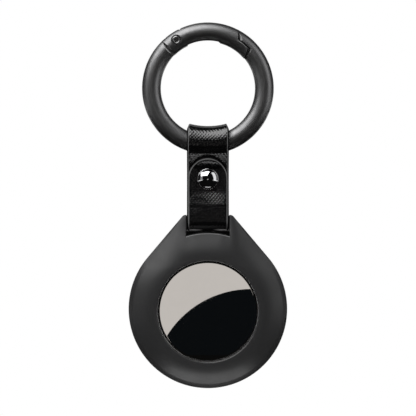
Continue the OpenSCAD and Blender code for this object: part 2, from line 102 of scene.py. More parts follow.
class Bench:
    """Blender's modelling operators, one hand movement each."""

    @staticmethod
    def clear() -> None:
        """Leaves edit mode and deselects everything."""
        if bpy.context.object and bpy.context.object.mode != "OBJECT":
            bpy.ops.object.mode_set(mode="OBJECT")
        bpy.ops.object.select_all(action="DESELECT")

    @staticmethod
    def hold(piece: bpy.types.Object) -> None:
        """Makes a piece the only selected one."""
        Bench.clear()
        piece.select_set(True)
        bpy.context.view_layer.objects.active = piece

    @staticmethod
    def named(name: str) -> bpy.types.Object:
        """Names the primitive that was just added, and gives it back."""
        piece = bpy.context.object
        piece.name = piece.data.name = name
        return piece

    @staticmethod
    def loop(name: str, points: Sequence[Solid]) -> bpy.types.Object:
        """Adds a ring of vertices and lays it on the given points.

        Args:
            name: Name of the new piece.
            points: Places of the vertices in millimetres, in order round the ring.

        Returns:
            The piece, in edit mode, with the whole ring selected.
        """
        Bench.clear()
        bpy.ops.mesh.primitive_circle_add(vertices=len(points), radius=MM, fill_type="NOTHING")
        piece = Bench.named(name)
        for vertex, point in zip(piece.data.vertices, points):
            vertex.co = Vector(point) * MM
        bpy.ops.object.mode_set(mode="EDIT")
        bpy.ops.mesh.select_all(action="SELECT")
        return piece

    @staticmethod
    def grow(piece: bpy.types.Object, points: Sequence[Solid]) -> None:
        """Extrudes the selected ring of vertices once, and lays the new ring on the given points.

        Args:
            piece: The piece, in edit mode, whose last ring is selected.
            points: Places of the new ring in millimetres, in the order of the old one.
        """
        count = len(points)
        bpy.ops.mesh.extrude_edges_move()
        mesh = bmesh.from_edit_mesh(piece.data)
        mesh.verts.ensure_lookup_table()
        first = len(mesh.verts) - count
        for i in range(count):
            old = mesh.verts[first - count + i]
            new = next(e.other_vert(old) for e in old.link_edges if e.other_vert(old).index >= first)
            new.tag = True
            new.co = Vector(points[i]) * MM
            new.index = first + i
        mesh.verts.sort()
        bmesh.update_edit_mesh(piece.data)

    @staticmethod
    def loft(name: str, rings: Sequence[Sequence[Solid]], closed: bool = False) -> bpy.types.Object:
        """Makes a solid through rings of points, each extruded from the last.

        Args:
            name: Name of the new piece.
            rings: Rings with the same number of points each, in millimetres.
            closed: Whether the last ring joins the first. Otherwise both ends are filled.

        Returns:
            The solid, in object mode, with its faces pointing outwards.
        """
        piece = Bench.loop(name, rings[0])
        if not closed:
            bpy.ops.mesh.edge_face_add()
            bpy.ops.mesh.select_all(action="SELECT")
        for ring in rings[1:]:
            Bench.grow(piece, ring)
        if closed:
            Bench.grow(piece, rings[0])
        else:
            bpy.ops.mesh.edge_face_add()
        return Bench.close(piece)

    @staticmethod
    def skin(name: str, rows: Sequence[Sequence[Solid]]) -> bpy.types.Object:
        """Adds a grid and lays it on rows of points, then welds its edges where they meet and fills its ends.

        Args:
            name: Name of the new piece.
            rows: Rows with the same number of points each, in millimetres.

        Returns:
            The closed skin, in object mode. Its faces keep the grid's order, row by row.
        """
        Bench.clear()
        count = len(rows[0])
        bpy.ops.mesh.primitive_grid_add(x_subdivisions=count - 1, y_subdivisions=len(rows) - 1, size=MM)
        piece = Bench.named(name)
        for i, vertex in enumerate(piece.data.vertices):
            vertex.co = Vector(rows[i // count][i % count]) * MM
        bpy.ops.object.mode_set(mode="EDIT")
        bpy.ops.mesh.select_all(action="SELECT")
        bpy.ops.mesh.remove_doubles(threshold=0.001 * MM)
        bpy.ops.mesh.select_all(action="DESELECT")
        bpy.ops.mesh.select_non_manifold()
        bpy.ops.mesh.edge_face_add()
        return Bench.close(piece)

    @staticmethod
    def close(piece: bpy.types.Object, reach: float = 0.001) -> bpy.types.Object:
        """Merges doubled vertices, turns the faces outwards and leaves edit mode."""
        bpy.ops.mesh.select_all(action="SELECT")
        bpy.ops.mesh.remove_doubles(threshold=reach * MM)
        bpy.ops.mesh.normals_make_consistent(inside=False)
        bpy.ops.object.mode_set(mode="OBJECT")
        return piece

    @staticmethod
    def prism(name: str, outline: Sequence[Flat], low: float, high: float) -> bpy.types.Object:
        """Extrudes an outline in X and Z between two places in Y.

        Args:
            name: Name of the new piece.
            outline: Corners of the outline in millimetres.
            low: Where the prism starts in Y.
            high: Where it ends.

        Returns:
            The prism, in object mode.
        """
        piece = Bench.loop(name, [(x, low, z) for x, z in outline])
        bpy.ops.mesh.edge_face_add()
        bpy.ops.mesh.extrude_region_move(TRANSFORM_OT_translate={"value": (0, (high - low) * MM, 0)})
        return Bench.close(piece)

    @staticmethod
    def turned(name: str, profile: Sequence[Flat], centre: Flat, steps: int) -> bpy.types.Object:
        """Spins a closed profile round an axis that runs along Y.

        Args:
            name: Name of the new piece.
            profile: Corners as radius and Y, in millimetres, in order round the section.
            centre: X and Z of the axis.
            steps: Number of steps in the full turn.

        Returns:
            The turned solid, in object mode.
        """
        piece = Bench.loop(name, [(centre[0] + r, y, centre[1]) for r, y in profile])
        bpy.ops.mesh.spin(steps=steps, angle=2 * math.pi, center=(centre[0] * MM, 0, centre[1] * MM), axis=(0, 1, 0))
        return Bench.close(piece)

    @staticmethod
    def combine(piece: bpy.types.Object, tool: bpy.types.Object, how: Boolean) -> bpy.types.Object:
        """Cuts a piece with a tool solid, keeps what both share, or joins them, and removes the tool."""
        Bench.hold(piece)
        step = piece.modifiers.new("combine", "BOOLEAN")
        step.operation = how.value
        step.object = tool
        step.solver = "EXACT"
        bpy.ops.object.modifier_apply(modifier=step.name)
        bpy.data.meshes.remove(tool.data)
        return piece

    @staticmethod
    def weld(piece: bpy.types.Object, reach: float = 0.02) -> None:
        """Merges vertices that a cut left closer together than the reach in millimetres."""
        Bench.hold(piece)
        bpy.ops.object.mode_set(mode="EDIT")
        Bench.close(piece, reach)

    @staticmethod
    def bevel(piece: bpy.types.Object, width: float, segments: int, angle: float, slot: int = -1) -> None:
        """Rounds the edges of a piece that are sharper than an angle.

        Args:
            piece: The piece to round.
            width: Width of the bevel in millimetres.
            segments: Number of faces across it.
            angle: The sharpness in degrees from which an edge is rounded.
            slot: Material slot of the new faces, or -1 for that of their neighbours.
        """
        Bench.hold(piece)
        Bench.slots(piece, slot + 1)
        step = piece.modifiers.new("bevel", "BEVEL")
        step.width = width * MM
        step.segments = segments
        step.limit_method = "ANGLE"
        step.angle_limit = math.radians(angle)
        step.use_clamp_overlap = True
        step.miter_outer = "MITER_ARC"
        step.material = slot
        bpy.ops.object.modifier_apply(modifier=step.name)

    @staticmethod
    def smooth(piece: bpy.types.Object, angle: float = 35.0) -> None:
        """Shades a piece smooth, apart from edges sharper than the angle in degrees."""
        Bench.hold(piece)
        bpy.ops.object.shade_smooth_by_angle(angle=math.radians(angle))

    @staticmethod
    def slots(piece: bpy.types.Object, count: int) -> None:
        """Gives a piece at least that many material slots."""
        while len(piece.data.materials) < count:
            piece.data.materials.append(None)

    @staticmethod
    def mark(piece: bpy.types.Object, slot: int, chosen: Callable[[Solid, Vector], bool]) -> None:
        """Moves the faces that a test chooses to a material slot of their own.

        Args:
            piece: The piece, in object mode.
            slot: Index of the slot.
            chosen: The test, given a face's centre in millimetres and its normal.
        """
        Bench.slots(piece, slot + 1)
        for face in piece.data.polygons:
            if chosen(tuple(c / MM for c in face.center), face.normal):
                face.material_index = slot


# ---------------------------------------------------------------- ring


@dataclass
class GateRing:
    """The ring: its fixed part, its spring gate and the hollow rivet that the gate turns on.

    The seam is where the gate's fork meets the fixed part, beside the pivot. The lap is at the gate's free end: its
    nose is the outer corner and its tip the inner one, each given as an angle round the ring and how far it leans.
    """

    ring_r: float = 15.0
    bar_r: float = 2.5
    # The pivot's place, and the seam beside it, turned a little from the ring's radius.
    pivot_angle: float = 123.4
    pivot_offset: float = 0.2
    seam_turn: float = 4.2
    seam_at: float = 3.17
    gate_gap: float = 0.25
    # The fixed part's tongue: its foot behind the seam, and its sides and edges across the bar.
    tongue_w: float = 2.0
    tongue_foot: float = 3.67
    tongue_sides: Flat = (-2.2, 2.75)
    tongue_band: Flat = (-2.54, 2.44)
    # The gate's fork round the tongue, and the slot behind it that holds the spring.
    slot_w: float = 2.2
    slot_end: float = 11.1
    slot_side: float = 1.15
    fork_reach: float = 3.9
    fork_r: float = 3.3
    # The hollow rivet: its shank, its rolled heads and the wells that they stand in.
    pivot_d: float = 1.6
    pivot_bore_d: float = 1.7
    head_d: float = 2.3
    head_well_d: float = 2.9
    head_floor: float = 1.85
    head_room: float = 0.05
    head_t: float = 0.4
    hollow_d: float = 1.1
    hollow_depth: float = 1.2
    # The tongue's cam, which rises as the gate opens.
    spring_angle: float = 8.4
    cam_r: float = 2.9
    cam_lift: float = 0.45
    cam_lead: float = 25.0
    gate_open: float = 35.0
    # The lap's corners, and the rib in its middle with the groove that takes it.
    body_nose: Flat = (55.8, 5.2)
    body_tip: Flat = (43.4, 7.9)
    gate_nose: Flat = (57.0, 5.0)
    gate_tip: Flat = (44.5, 5.8)
    lock_w: float = 1.0
    lock_room: float = 0.1
    lock_turn: float = 2.4
    lock_drop: float = 0.5
    # The gate's inside, which stands a little proud of the bar between two angles.
    step_from: float = 20.0
    step_to: float = 75.5
    step_share: float = 1.07
    # The seam's and the lap's edges, drawn back towards the bar's front and rear, and where a painted highlight
    # lightens those that face the key light.
    edge_round: float = 0.42
    edge_deep: float = 1.75
    edge_curve: float = 1.2
    edge_stations: tuple[float, ...] = (-6.0, -2.55, -2.4, -2.25, -2.1, -1.92)
    nose_draw: float = 1.5
    lap_draw: float = 0.6
    highlight_reach: float = 0.4
    # Tool solids: how far they reach past the ring's middle line, as a share of the bar's radius, and where their
    # inside starts round the ring from the pivot.
    tool_reach: float = 1.6
    gap_root: float = 13.0
    gate_root: float = -4.0
    pieces: dict[str, bpy.types.Object] = field(default_factory=dict)

    @property
    def pivot(self) -> Flat:
        """Centre of the pivot in X and Z."""
        return polar(self.ring_r + self.pivot_offset, self.pivot_angle)

    @property
    def tool_radii(self) -> Flat:
        """Radii that a tool solid spans to pass clear of the bar, inside and outside."""
        return self.ring_r - self.tool_reach * self.bar_r, self.ring_r + self.tool_reach * self.bar_r

    def beside(self, along: float, across: float) -> Flat:
        """Gives a point near the pivot, along the seam's direction and across it, towards the ring's inside."""
        ax, az = polar(along, self.pivot_angle + self.seam_turn + 90)
        bx, bz = polar(across, self.pivot_angle + self.seam_turn + 180)
        return self.pivot[0] + ax + bx, self.pivot[1] + az + bz

    def spring_line(self, down: float, along: float) -> Flat:
        """Gives a point from the pivot, along the spring's line and down from it."""
        ax, az = polar(along, self.spring_angle)
        bx, bz = polar(down, self.spring_angle - 90)
        return self.pivot[0] + ax + bx, self.pivot[1] + az + bz

    def gate_region(self, at: float, rounded: bool, lap_r: float, nose: Flat, tip: Flat) -> list[Flat]:
        """Outlines the region that holds the gate, from its rear line round to its lapped tip.

        Args:
            at: Distance of the rear line from the pivot.
            rounded: Whether the rear line is rounded inside the pivot.
            lap_r: Radius of the line along which the two parts lap.
            nose: Angle of the lap's outer corner, and how far it leans.
            tip: Angle of the lap's inner corner, and how far it leans.

        Returns:
            The outline's corners.
        """
        reach = self.tool_reach
        low_r, high_r = self.tool_radii
        root = self.pivot_angle + (self.gate_root if rounded else self.gap_root)
        rear = [self.beside(at, -2 * reach * self.bar_r)]
        if rounded:
            rear += [self.beside(*polar(at, t)) for t in range(0, 91, 6)]
        else:
            rear.append(self.beside(at, reach * self.bar_r))
        inner = [polar(low_r, a) for a in span(root, tip[0] - reach * tip[1], 40)]
        lap = [polar(lap_r, a) for a in span(tip[0], nose[0], 24)]
        outer = [polar(high_r, a) for a in span(nose[0] + reach * nose[1], self.pivot_angle, 40)]
        return rear + inner + lap + outer

    def drawn(self, name: str, outline_at: Callable[[float], list[Flat]],
              stations: Sequence[float]) -> bpy.types.Object:
        """Makes a tool solid along Y whose outline draws back towards the bar's front and rear.

        Args:
            name: Name of the tool.
            outline_at: Gives the outline for how far the edge is drawn back.
            stations: Places in Y, in order.

        Returns:
            The tool solid.
        """
        rings = []
        past_bar = self.bar_r + 0.05
        for y in stations:
            near = (abs(y) - self.edge_deep) / (past_bar - self.edge_deep)
            back = self.edge_round * min(max(near, 0.0), 1.0) ** self.edge_curve
            rings.append([(x, y, z) for x, z in outline_at(back)])
        return Bench.loft(name, rings)

    def bar(self, name: str) -> bpy.types.Object:
        """Adds the whole round bar of the ring."""
        Bench.clear()
        bpy.ops.mesh.primitive_torus_add(major_segments=288, minor_segments=48, major_radius=self.ring_r * MM,
                                         minor_radius=self.bar_r * MM, rotation=(math.pi / 2, 0, 0))
        bpy.ops.object.transform_apply(location=True, rotation=True, scale=True)
        return Bench.named(name)

    def drill(self, diameter: float, low: float, high: float) -> bpy.types.Object:
        """Adds a round tool solid on the pivot's axis."""
        return Bench.prism("drill", circle(diameter / 2, 48, self.pivot), low, high)

    def tongue(self) -> bpy.types.Object:
        """Makes the tongue that reaches into the gate's fork, with its cam for the spring."""
        half = self.tongue_w / 2
        sweep = self.gate_open + 2 * self.cam_lead
        lift = [(self.cam_lead - sweep * i / 40) for i in range(41)]
        cam = [(self.cam_r + self.cam_lift * max(0.0, min(1.0, -a / self.gate_open)), self.spring_angle + a)
               for a in lift]
        rest = span(cam[-1][1], cam[0][1] - 360, 72)[1:-1]
        outline = [polar(r, a) for r, a in cam] + [polar(self.cam_r, a) for a in rest]
        disc = Bench.prism("gate_tongue", [(self.pivot[0] + x, self.pivot[1] + z) for x, z in outline], -half, half)
        inside, outside = self.tongue_sides
        root = [self.beside(0, inside), self.beside(self.tongue_foot, inside),
                self.beside(self.tongue_foot, outside), self.beside(0, outside)]
        Bench.combine(disc, Bench.prism("root", root, -half, half), Boolean.JOIN)
        low_r, high_r = (self.ring_r + reach for reach in self.tongue_band)
        band = [(low_r, -2 * half), (high_r, -2 * half), (high_r, 2 * half), (low_r, 2 * half)]
        Bench.combine(disc, Bench.turned("band", band, (0, 0), 288), Boolean.KEEP)
        return Bench.combine(disc, self.drill(self.pivot_d, -3, 3), Boolean.CUT)

    def turns_for(self, back: float) -> Flat:
        """Gives a distance in degrees round the outside and round the inside of the ring."""
        return math.degrees(back / (self.ring_r + self.bar_r)), math.degrees(back / (self.ring_r - self.bar_r))

    def body_gap(self, turn: float, drop: float, back: float = 0.0) -> list[Flat]:
        """Outlines the gap in the fixed part.

        Args:
            turn: How far the lap is turned, in degrees, where the lock's rib stands.
            drop: How far the lap is dropped there.
            back: How far the gap's edge is drawn back.

        Returns:
            The outline's corners.
        """
        outside, inside = self.turns_for(back)
        nose, nose_lean = self.body_nose
        tip, tip_lean = self.body_tip
        return self.gate_region(self.seam_at + self.gate_gap / 2 + back, False,
                                self.ring_r + self.gate_gap - drop + self.lap_draw * back,
                                (nose + turn - self.nose_draw * outside, nose_lean - 2 * outside),
                                (tip + turn - inside, tip_lean))

    def held(self, back: float) -> list[Flat]:
        """Outlines what the gate keeps of the bar, with its edge drawn back."""
        outside, inside = self.turns_for(back)
        nose, nose_lean = self.gate_nose
        tip, tip_lean = self.gate_tip
        return self.gate_region(self.seam_at - self.gate_gap / 2 - back, True, self.ring_r - self.lap_draw * back,
                                (nose + outside, nose_lean), (tip + inside, tip_lean))

    def groove(self) -> list[Flat]:
        """Outlines the groove in the gate's lap, which runs over the lock's rib."""
        low_r, high_r = self.tool_radii
        rear_r = self.ring_r + 1.5
        lap = [polar(self.ring_r - self.lock_drop, a + self.lock_turn)
               for a in span(self.gate_nose[0], self.gate_tip[0], 24)]
        return [polar(high_r, 65 + self.lock_turn), *lap, polar(low_r, 35.2 + self.lock_turn), polar(low_r, 32),
                polar(rear_r, 41.5), polar(rear_r, 54), polar(high_r, 62)]

    def body(self) -> bpy.types.Object:
        """Makes the fixed part of the ring, with the gap that the gate fills and the rib that closes the lap."""
        piece = self.bar("ring_bar")
        half = self.lock_w / 2
        Bench.combine(piece, Bench.prism("gap", self.body_gap(self.lock_turn, self.lock_drop), -6, 6), Boolean.CUT)
        front = (*self.edge_stations, -self.edge_deep, -half)
        for stations in (front, [-y for y in reversed(front)]):
            gap = self.drawn("gap", lambda back: self.body_gap(0, 0, back), stations)
            Bench.combine(piece, gap, Boolean.CUT)
        Bench.weld(piece)
        Bench.combine(piece, self.tongue(), Boolean.JOIN)
        return piece

    def gate(self) -> bpy.types.Object:
        """Makes the gate: forked at its root, slotted for its spring and lapped at its tip."""
        piece = self.bar("spring_gate")
        for vertex in piece.data.vertices:
            x, z = vertex.co.x / MM, vertex.co.z / MM
            reach = math.hypot(x, z)
            if self.step_from < math.degrees(math.atan2(z, x)) < self.step_to and reach < self.ring_r:
                share = (self.ring_r - (self.ring_r - reach) * self.step_share) / reach
                vertex.co.x, vertex.co.z = vertex.co.x * share, vertex.co.z * share
        front = (*self.edge_stations, -self.edge_deep)
        stations = [*front, *(-y for y in reversed(front))]
        Bench.combine(piece, self.drawn("held", self.held, stations), Boolean.KEEP)
        half = self.lock_w / 2 + self.lock_room
        Bench.combine(piece, Bench.prism("groove", self.groove(), -half, half), Boolean.CUT)
        for side in (-1, 1):
            well = self.drill(self.head_well_d, side * self.head_floor, side * 4.0)
            Bench.combine(piece, well, Boolean.CUT)
        Bench.weld(piece)
        half = self.slot_w / 2
        past = 2 * self.bar_r
        over = [self.spring_line(-up, along) for along, up in (polar(self.fork_r, a) for a in span(95, 20, 16))]
        fork = [self.spring_line(-past, -past), self.spring_line(-past, -1), *over,
                self.spring_line(-self.slot_side, self.fork_reach), self.spring_line(past, self.fork_reach),
                self.spring_line(past, -past)]
        slot = [self.spring_line(-self.slot_side, 0), self.spring_line(-self.slot_side, self.slot_end),
                self.spring_line(past, self.slot_end), self.spring_line(past, 0)]
        for outline in (fork, slot):
            Bench.combine(piece, Bench.prism("slot", outline, -half, half), Boolean.CUT)
        return Bench.combine(piece, self.drill(self.pivot_bore_d, -4, 4), Boolean.CUT)

    def eyelet(self) -> bpy.types.Object:
        """Makes the hollow rivet, its rolled head standing in the well at each side of the gate."""
        low = self.head_floor + self.head_room
        high = low + self.head_t
        shank, head, hollow = self.pivot_d / 2, self.head_d / 2, self.hollow_d / 2
        mid = (head + hollow) / 2
        roll = [(mid + (head - mid) * math.cos(math.radians(a)), low + self.head_t * math.sin(math.radians(a)))
                for a in range(0, 181, 15)]
        floor = high - self.hollow_depth
        side = [(shank, low), *roll, (hollow, floor), (0, floor)]
        profile = side + [(r, -y) for r, y in reversed(side)]
        return Bench.turned("pivot_eyelet", profile, self.pivot, 64)

    def faces_key_light(self, place: Solid, normal: Vector) -> bool:
        """Tells whether a face lies on a drawn-back edge that looks up or left, towards the key light, where a
        painted highlight goes.
        """
        x, y, z = place
        reach = math.hypot(x, z)
        deep = self.bar_r - math.hypot(reach - self.ring_r, y)
        drawn_back = deep > 0.02 and abs(y) > self.edge_deep and abs(normal.y) > 0.1
        looks_up = normal.z > 0.25 or (normal.x < -0.4 and normal.z > -0.25)
        return drawn_back and looks_up and (x < 0 or reach > self.ring_r - self.highlight_reach)

    def build(self) -> None:
        """Makes the three pieces and puts each on its body."""
        made = {"ring_body": (self.body(), "ring"), "ring_gate": (self.gate(), "gate"),
                "gate_pivot_rivet": (self.eyelet(), "ring")}
        for node, (piece, body) in made.items():
            if node != "gate_pivot_rivet":
                # Slot 1 is a painted highlight: lighter metal on the edges that face the key light.
                Bench.mark(piece, 1, self.faces_key_light)
            Bench.smooth(piece)
            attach(piece, body)
            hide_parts(node)
            self.pieces[node] = piece


# ---------------------------------------------------------------- strap


@dataclass
class Strap:
    """The leather strap: a facing with edges in a lighter grey, partly edge paint and partly a painted highlight, on
    a slightly wider backing, and its rivet.

    A run's path is the middle of its thickness, as points in Y and Z. The neck is where the rear run narrows to bend
    over the ring, and the fold is where the strap turns round the case's crossbar.
    """

    # Widths, and the plies in the leather's thickness.
    width: float = 11.1
    facing_w: float = 10.5
    neck_w: float = 9.8
    neck_facing_w: float = 9.7
    thickness: float = 1.15
    layer: float = 1.2
    facing_t: float = 0.5
    columns: int = 12
    # The strap's run: over the ring, through the rivet and round the case's crossbar.
    loop_z: float = -14.4677
    loop_r: float = 3.8772
    rivet_z: float = -24.1177
    crossbar_z: float = -35.1177
    fold_r: float = 2.225
    flap_rise: float = 5.5
    clamp_share: float = 0.5
    tail_share: float = 0.6
    fold_rise: float = 0.7
    swell_from: float = -26.9
    swell_to: float = -34.4
    swell_ease: float = 0.35
    # The neck: where it narrows, how its sides rise over the bar, and where its inner edges are thinned.
    neck_rise: float = 2.6
    neck_fade: float = 1.8
    saddle: float = 0.64
    skive: float = 0.35
    skive_drop: float = 4.2
    skive_rise: float = 1.2
    skive_fade: float = 1.4
    skive_from: float = 0.6
    # The low wrinkle below the rivet, and the leather pulled in round its cap, both only on the front's skin.
    pressed_y: float = -0.9
    bulge: float = 0.3
    bulge_at: Flat = (3.4, -31.3)
    bulge_r: float = 4.2
    bulge_reach: float = 12.0
    dimple: float = 0.16
    dimple_r: float = 2.9
    dimple_w: float = 2.4
    dimple_reach: float = 7.0
    # The edges, lighter as edge paint and as a painted highlight, and the painted highlights on the facing at the
    # fold's bottom and on top of the bend.
    edge_w: float = 0.32
    neck_edge_w: float = 0.2
    fold_highlight_z: float = -37.42
    sheen_up: float = 0.87
    # The backing: how far it stands back from the facing, and where it fills out round the fold.
    backing_step: float = 0.3
    backing_edge_w: float = 0.12
    fill_z: float = -36.0
    fill_fade: float = 0.9
    fill_room: float = 0.03
    # The rivet's cap with its rolled rim, and its rear head.
    cap_d: float = 5.6
    cap_h: float = 1.5
    rim_roll: float = 0.13
    rim_sink: float = 0.02
    rim_turn: float = 6.5
    post_d: float = 2.2
    post_back_d: float = 4.6
    post_back_t: float = 0.45
    pieces: dict[str, bpy.types.Object] = field(default_factory=dict)

    @property
    def clamp_top(self) -> float:
        """Height above which the layers part towards the ring."""
        return self.rivet_z + self.clamp_share * self.cap_d

    @property
    def loop_start(self) -> float:
        """Height at which the layers meet the round loop."""
        return self.loop_z - self.thickness / 2

    @property
    def tail_end(self) -> float:
        """Height of the tucked end of the strap."""
        return self.rivet_z - self.tail_share * self.cap_d

    @property
    def fold_start(self) -> float:
        """Height at which the long layers meet the round fold."""
        return self.crossbar_z + self.fold_rise

    def tail_y(self, z: float) -> float:
        """Middle of the layer that comes down from the ring in front."""
        return -self.loop_r * eased((z - self.clamp_top) / (self.loop_start - self.clamp_top))

    def tail_slope(self, z: float) -> float:
        """Slope of the tail, as the change in Y with height."""
        return (self.tail_y(z + 0.05) - self.tail_y(z - 0.05)) / 0.1

    def flap_y(self, z: float) -> float:
        """Middle of the flap, one layer in front of the tail."""
        slope = self.tail_slope(z)
        return self.tail_y(z) - self.layer * math.sqrt(1 + slope * slope)

    def fold_y(self, z: float) -> float:
        """Distance of the two long layers from the middle, which swell past the tucked tail down to the fold."""
        share = min(max((self.swell_from - z) / (self.swell_from - self.swell_to), 0.0), 1.0)
        return mix(self.layer, self.fold_r, mix(share, eased(share), self.swell_ease))

    def dimpled(self, x: float, y: float, z: float) -> float:
        """Pulls the front of the leather in round the rivet's cap, and lifts the low wrinkle beside it."""
        up = abs(z - self.rivet_z)
        if y > self.pressed_y or up > self.bulge_reach:
            return y
        away = math.hypot(x, z - self.rivet_z)
        near = math.hypot(x - self.bulge_at[0], z - self.bulge_at[1]) / self.bulge_r
        pull = self.dimple * eased((away - self.dimple_r) / self.dimple_w) if up < self.dimple_reach else 0.0
        return y - pull - self.bulge * eased(1 - near)

    def back_y(self, z: float) -> float:
        """Middle of the back layer between the rivet and the ring."""
        share = (z - self.clamp_top) / (self.loop_start - self.clamp_top)
        return self.layer + (self.loop_r - self.layer) * eased(share)

    def front_path(self) -> list[Flat]:
        """Path of the flap, down to the bottom of the fold."""
        turns = (math.radians(a) for a in span(90, 0, 30))
        flap = [(self.flap_y(z), z) for z in (self.rivet_z + self.flap_rise * math.sin(t) for t in turns)]
        long = [(-self.fold_y(z), z) for z in span(self.tail_end, self.fold_start, 28)]
        return flap + long + arc((0.0, self.crossbar_z), self.fold_r, range(186, 271, 7))

    def rear_path(self) -> list[Flat]:
        """Path from the bottom of the fold up the back, over the ring and down to the tail."""
        fold = arc((0.0, self.crossbar_z), self.fold_r, range(270, 355, 7))
        back = [(self.fold_y(z), z) for z in span(self.fold_start, self.tail_end, 28)]
        back += [(self.back_y(z), z) for z in span(self.clamp_top, self.loop_start, 24)]
        over = arc((0.0, self.loop_z), self.loop_r, range(0, 181, 6))
        tail = [(self.tail_y(z), z) for z in span(self.loop_start, self.clamp_top, 24)]
        return fold + back + over + tail + [(0.0, self.tail_end)]

    def saddled(self, x: float, z: float) -> float:
        """Raises the sides of the loop, which follows the ring's round bar."""
        high = eased((z - self.clamp_top) / (self.loop_z + self.loop_r - self.clamp_top))
        return z + self.saddle * high * (x / (self.neck_w / 2)) ** 2

    def neck_half(self, widest: float, narrow: float) -> Callable[[float], float]:
        """Half width by height of a run that narrows where it bends over the ring."""
        start = self.loop_z + self.neck_rise
        return lambda z: mix(widest, narrow, min(max((z - start) / self.neck_fade, 0.0), 1.0)) / 2

    def flap_half(self, widest: float, below: float) -> Callable[[float], float]:
        """Half width by height of a run with the flap's round end, and its width below the rivet."""
        def half(z: float) -> float:
            """Gives the half width at one height."""
            rise = min(max(z - self.rivet_z, 0) / self.flap_rise, 0.9999)
            lower = eased(self.rivet_z - z)
            return mix(widest, below, lower) / 2 * math.sqrt(1 - rise * rise)
        return half

    def skived(self, share: float, z: float) -> float:
        """Gives how much the leather is thinned inside its edges, where it opens round the ring's bar."""
        near = (eased((z - self.loop_z + self.skive_drop) / self.skive_fade)
                * eased((self.loop_z + self.skive_rise - z) / self.skive_fade))
        return self.skive * near * eased((abs(share) - self.skive_from) / (1 - self.skive_from))

    @staticmethod
    def with_normals(path: Sequence[Flat]) -> list[tuple[float, float, float, float]]:
        """Gives each point of a path with the direction towards the leather's outer face, both in Y and Z."""
        run = []
        for i, (y, z) in enumerate(path):
            ahead, behind = path[min(i + 1, len(path) - 1)], path[max(i - 1, 0)]
            along = Vector((ahead[0] - behind[0], ahead[1] - behind[1])).normalized()
            run.append((y, z, along.y, -along.x))
        return run

    def pressed(self, rows: Iterable[Sequence[Solid]]) -> list[list[Solid]]:
        """Presses rows of points round the rivet's cap and over the ring's bar."""
        return [[(x, self.dimpled(x, y, z), self.saddled(x, z)) for x, y, z in row] for row in rows]

    def ply(self, name: str, path: Sequence[Flat], half_at: Callable[[float], float], inner: float,
            outer_at: Callable[[float], float]) -> bpy.types.Object:
        """Sweeps one ply of leather along a path.

        Args:
            name: Name of the new piece.
            path: Path of the run.
            half_at: Half the ply's width at a height.
            inner: Where the ply's inner face lies, from the strap's middle.
            outer_at: Where its outer face lies, by height.

        Returns:
            The swept ply.
        """
        rings = []
        shares = [2 * c / self.columns - 1 for c in range(self.columns + 1)]
        for y, z, ny, nz in self.with_normals(path):
            half, outer = half_at(z), outer_at(z)
            front = [(s * half, y + ny * outer, z + nz * outer) for s in shares]
            low = [inner + self.skived(s, z) if inner < 0 else inner for s in shares]
            rear = [(s * half, y + ny * deep, z + nz * deep) for s, deep in zip(reversed(shares), reversed(low))]
            rings.append(front + rear)
        return Bench.loft(name, self.pressed(rings))

    def edge_profile(self) -> list[Flat]:
        """Section of the front facing from its middle out round its lighter edge and back behind it.

        Returns:
            Points as the distance from the strap's long middle line and from the middle of its thickness.
        """
        half, outer = self.facing_w / 2, self.thickness / 2
        face = [(share * (half - self.edge_w), outer) for share in (0.0, 0.25, 0.5, 0.75)]
        turns = [math.radians(a) for a in span(0, 90, 5)]
        edge = [(half - self.edge_w * (1 - math.sin(t)), outer - self.edge_w * (1 - math.cos(t))) for t in turns]
        inner = outer - self.facing_t
        return face + edge + [(half, inner), (half / 2, inner), (0.0, inner)]

    def front_facing(self) -> bpy.types.Object:
        """Makes the front facing: up one side, round the flap's end and down the other, as its lighter edge runs."""
        low = [(-self.layer, self.rivet_z)] + [p for p in self.front_path() if p[1] < self.rivet_z - 0.1]
        long = self.with_normals(low)[1:]
        profile = self.edge_profile()

        def side(way: int, run: Iterable[tuple[float, float, float, float]]) -> list[list[Solid]]:
            """Gives the rows along the straight run of the left or right side."""
            return [[(way * away, y + ny * off, z + nz * off) for away, off in profile] for y, z, ny, nz in run]

        def end(turn: float) -> list[Solid]:
            """Gives the row at one turn round the flap's end."""
            row = []
            for away, off in profile:
                z = self.rivet_z + away / (self.facing_w / 2) * self.flap_rise * math.sin(turn)
                slope = self.tail_slope(z)
                tall = math.sqrt(1 + slope * slope)
                row.append((away * math.cos(turn), self.flap_y(z) - off / tall, z + off * slope / tall))
            return row

        rows = side(-1, reversed(long)) + [end(math.radians(a)) for a in span(180, 0, 48)] + side(1, long)
        return Bench.skin("strap_front_facing", self.pressed(rows))

    def facing(self) -> list[bpy.types.Object]:
        """Makes the grained facing in its two runs, in front and behind, with rounded edges in edge paint lightened
        as a painted highlight.
        """
        half = self.thickness / 2
        inner = half - self.facing_t
        front = self.front_facing()
        rear = self.ply("strap_rear_facing", self.rear_path(), self.neck_half(self.facing_w, self.neck_facing_w),
                        inner, lambda z: half)
        # Slot 1 on the bevelled edges is edge paint made lighter as a painted highlight.
        Bench.bevel(rear, self.neck_edge_w, 3, 50, slot=1)
        # Slot 2 on top of the bend over the ring is a painted highlight on the faces that look up.
        Bench.mark(rear, 2, lambda place, normal: normal.z > self.sheen_up and place[2] > self.loop_z)
        # Slot 2 at the fold's bottom is a painted highlight: a pale line where the fold turns under.
        Bench.mark(front, 2, lambda place, normal: place[2] < self.fold_highlight_z)
        # Slot 1 on the front's edge band is edge paint made lighter as a painted highlight.
        Bench.mark(front, 1, lambda place, normal: self.painted(place))
        return [front, rear]

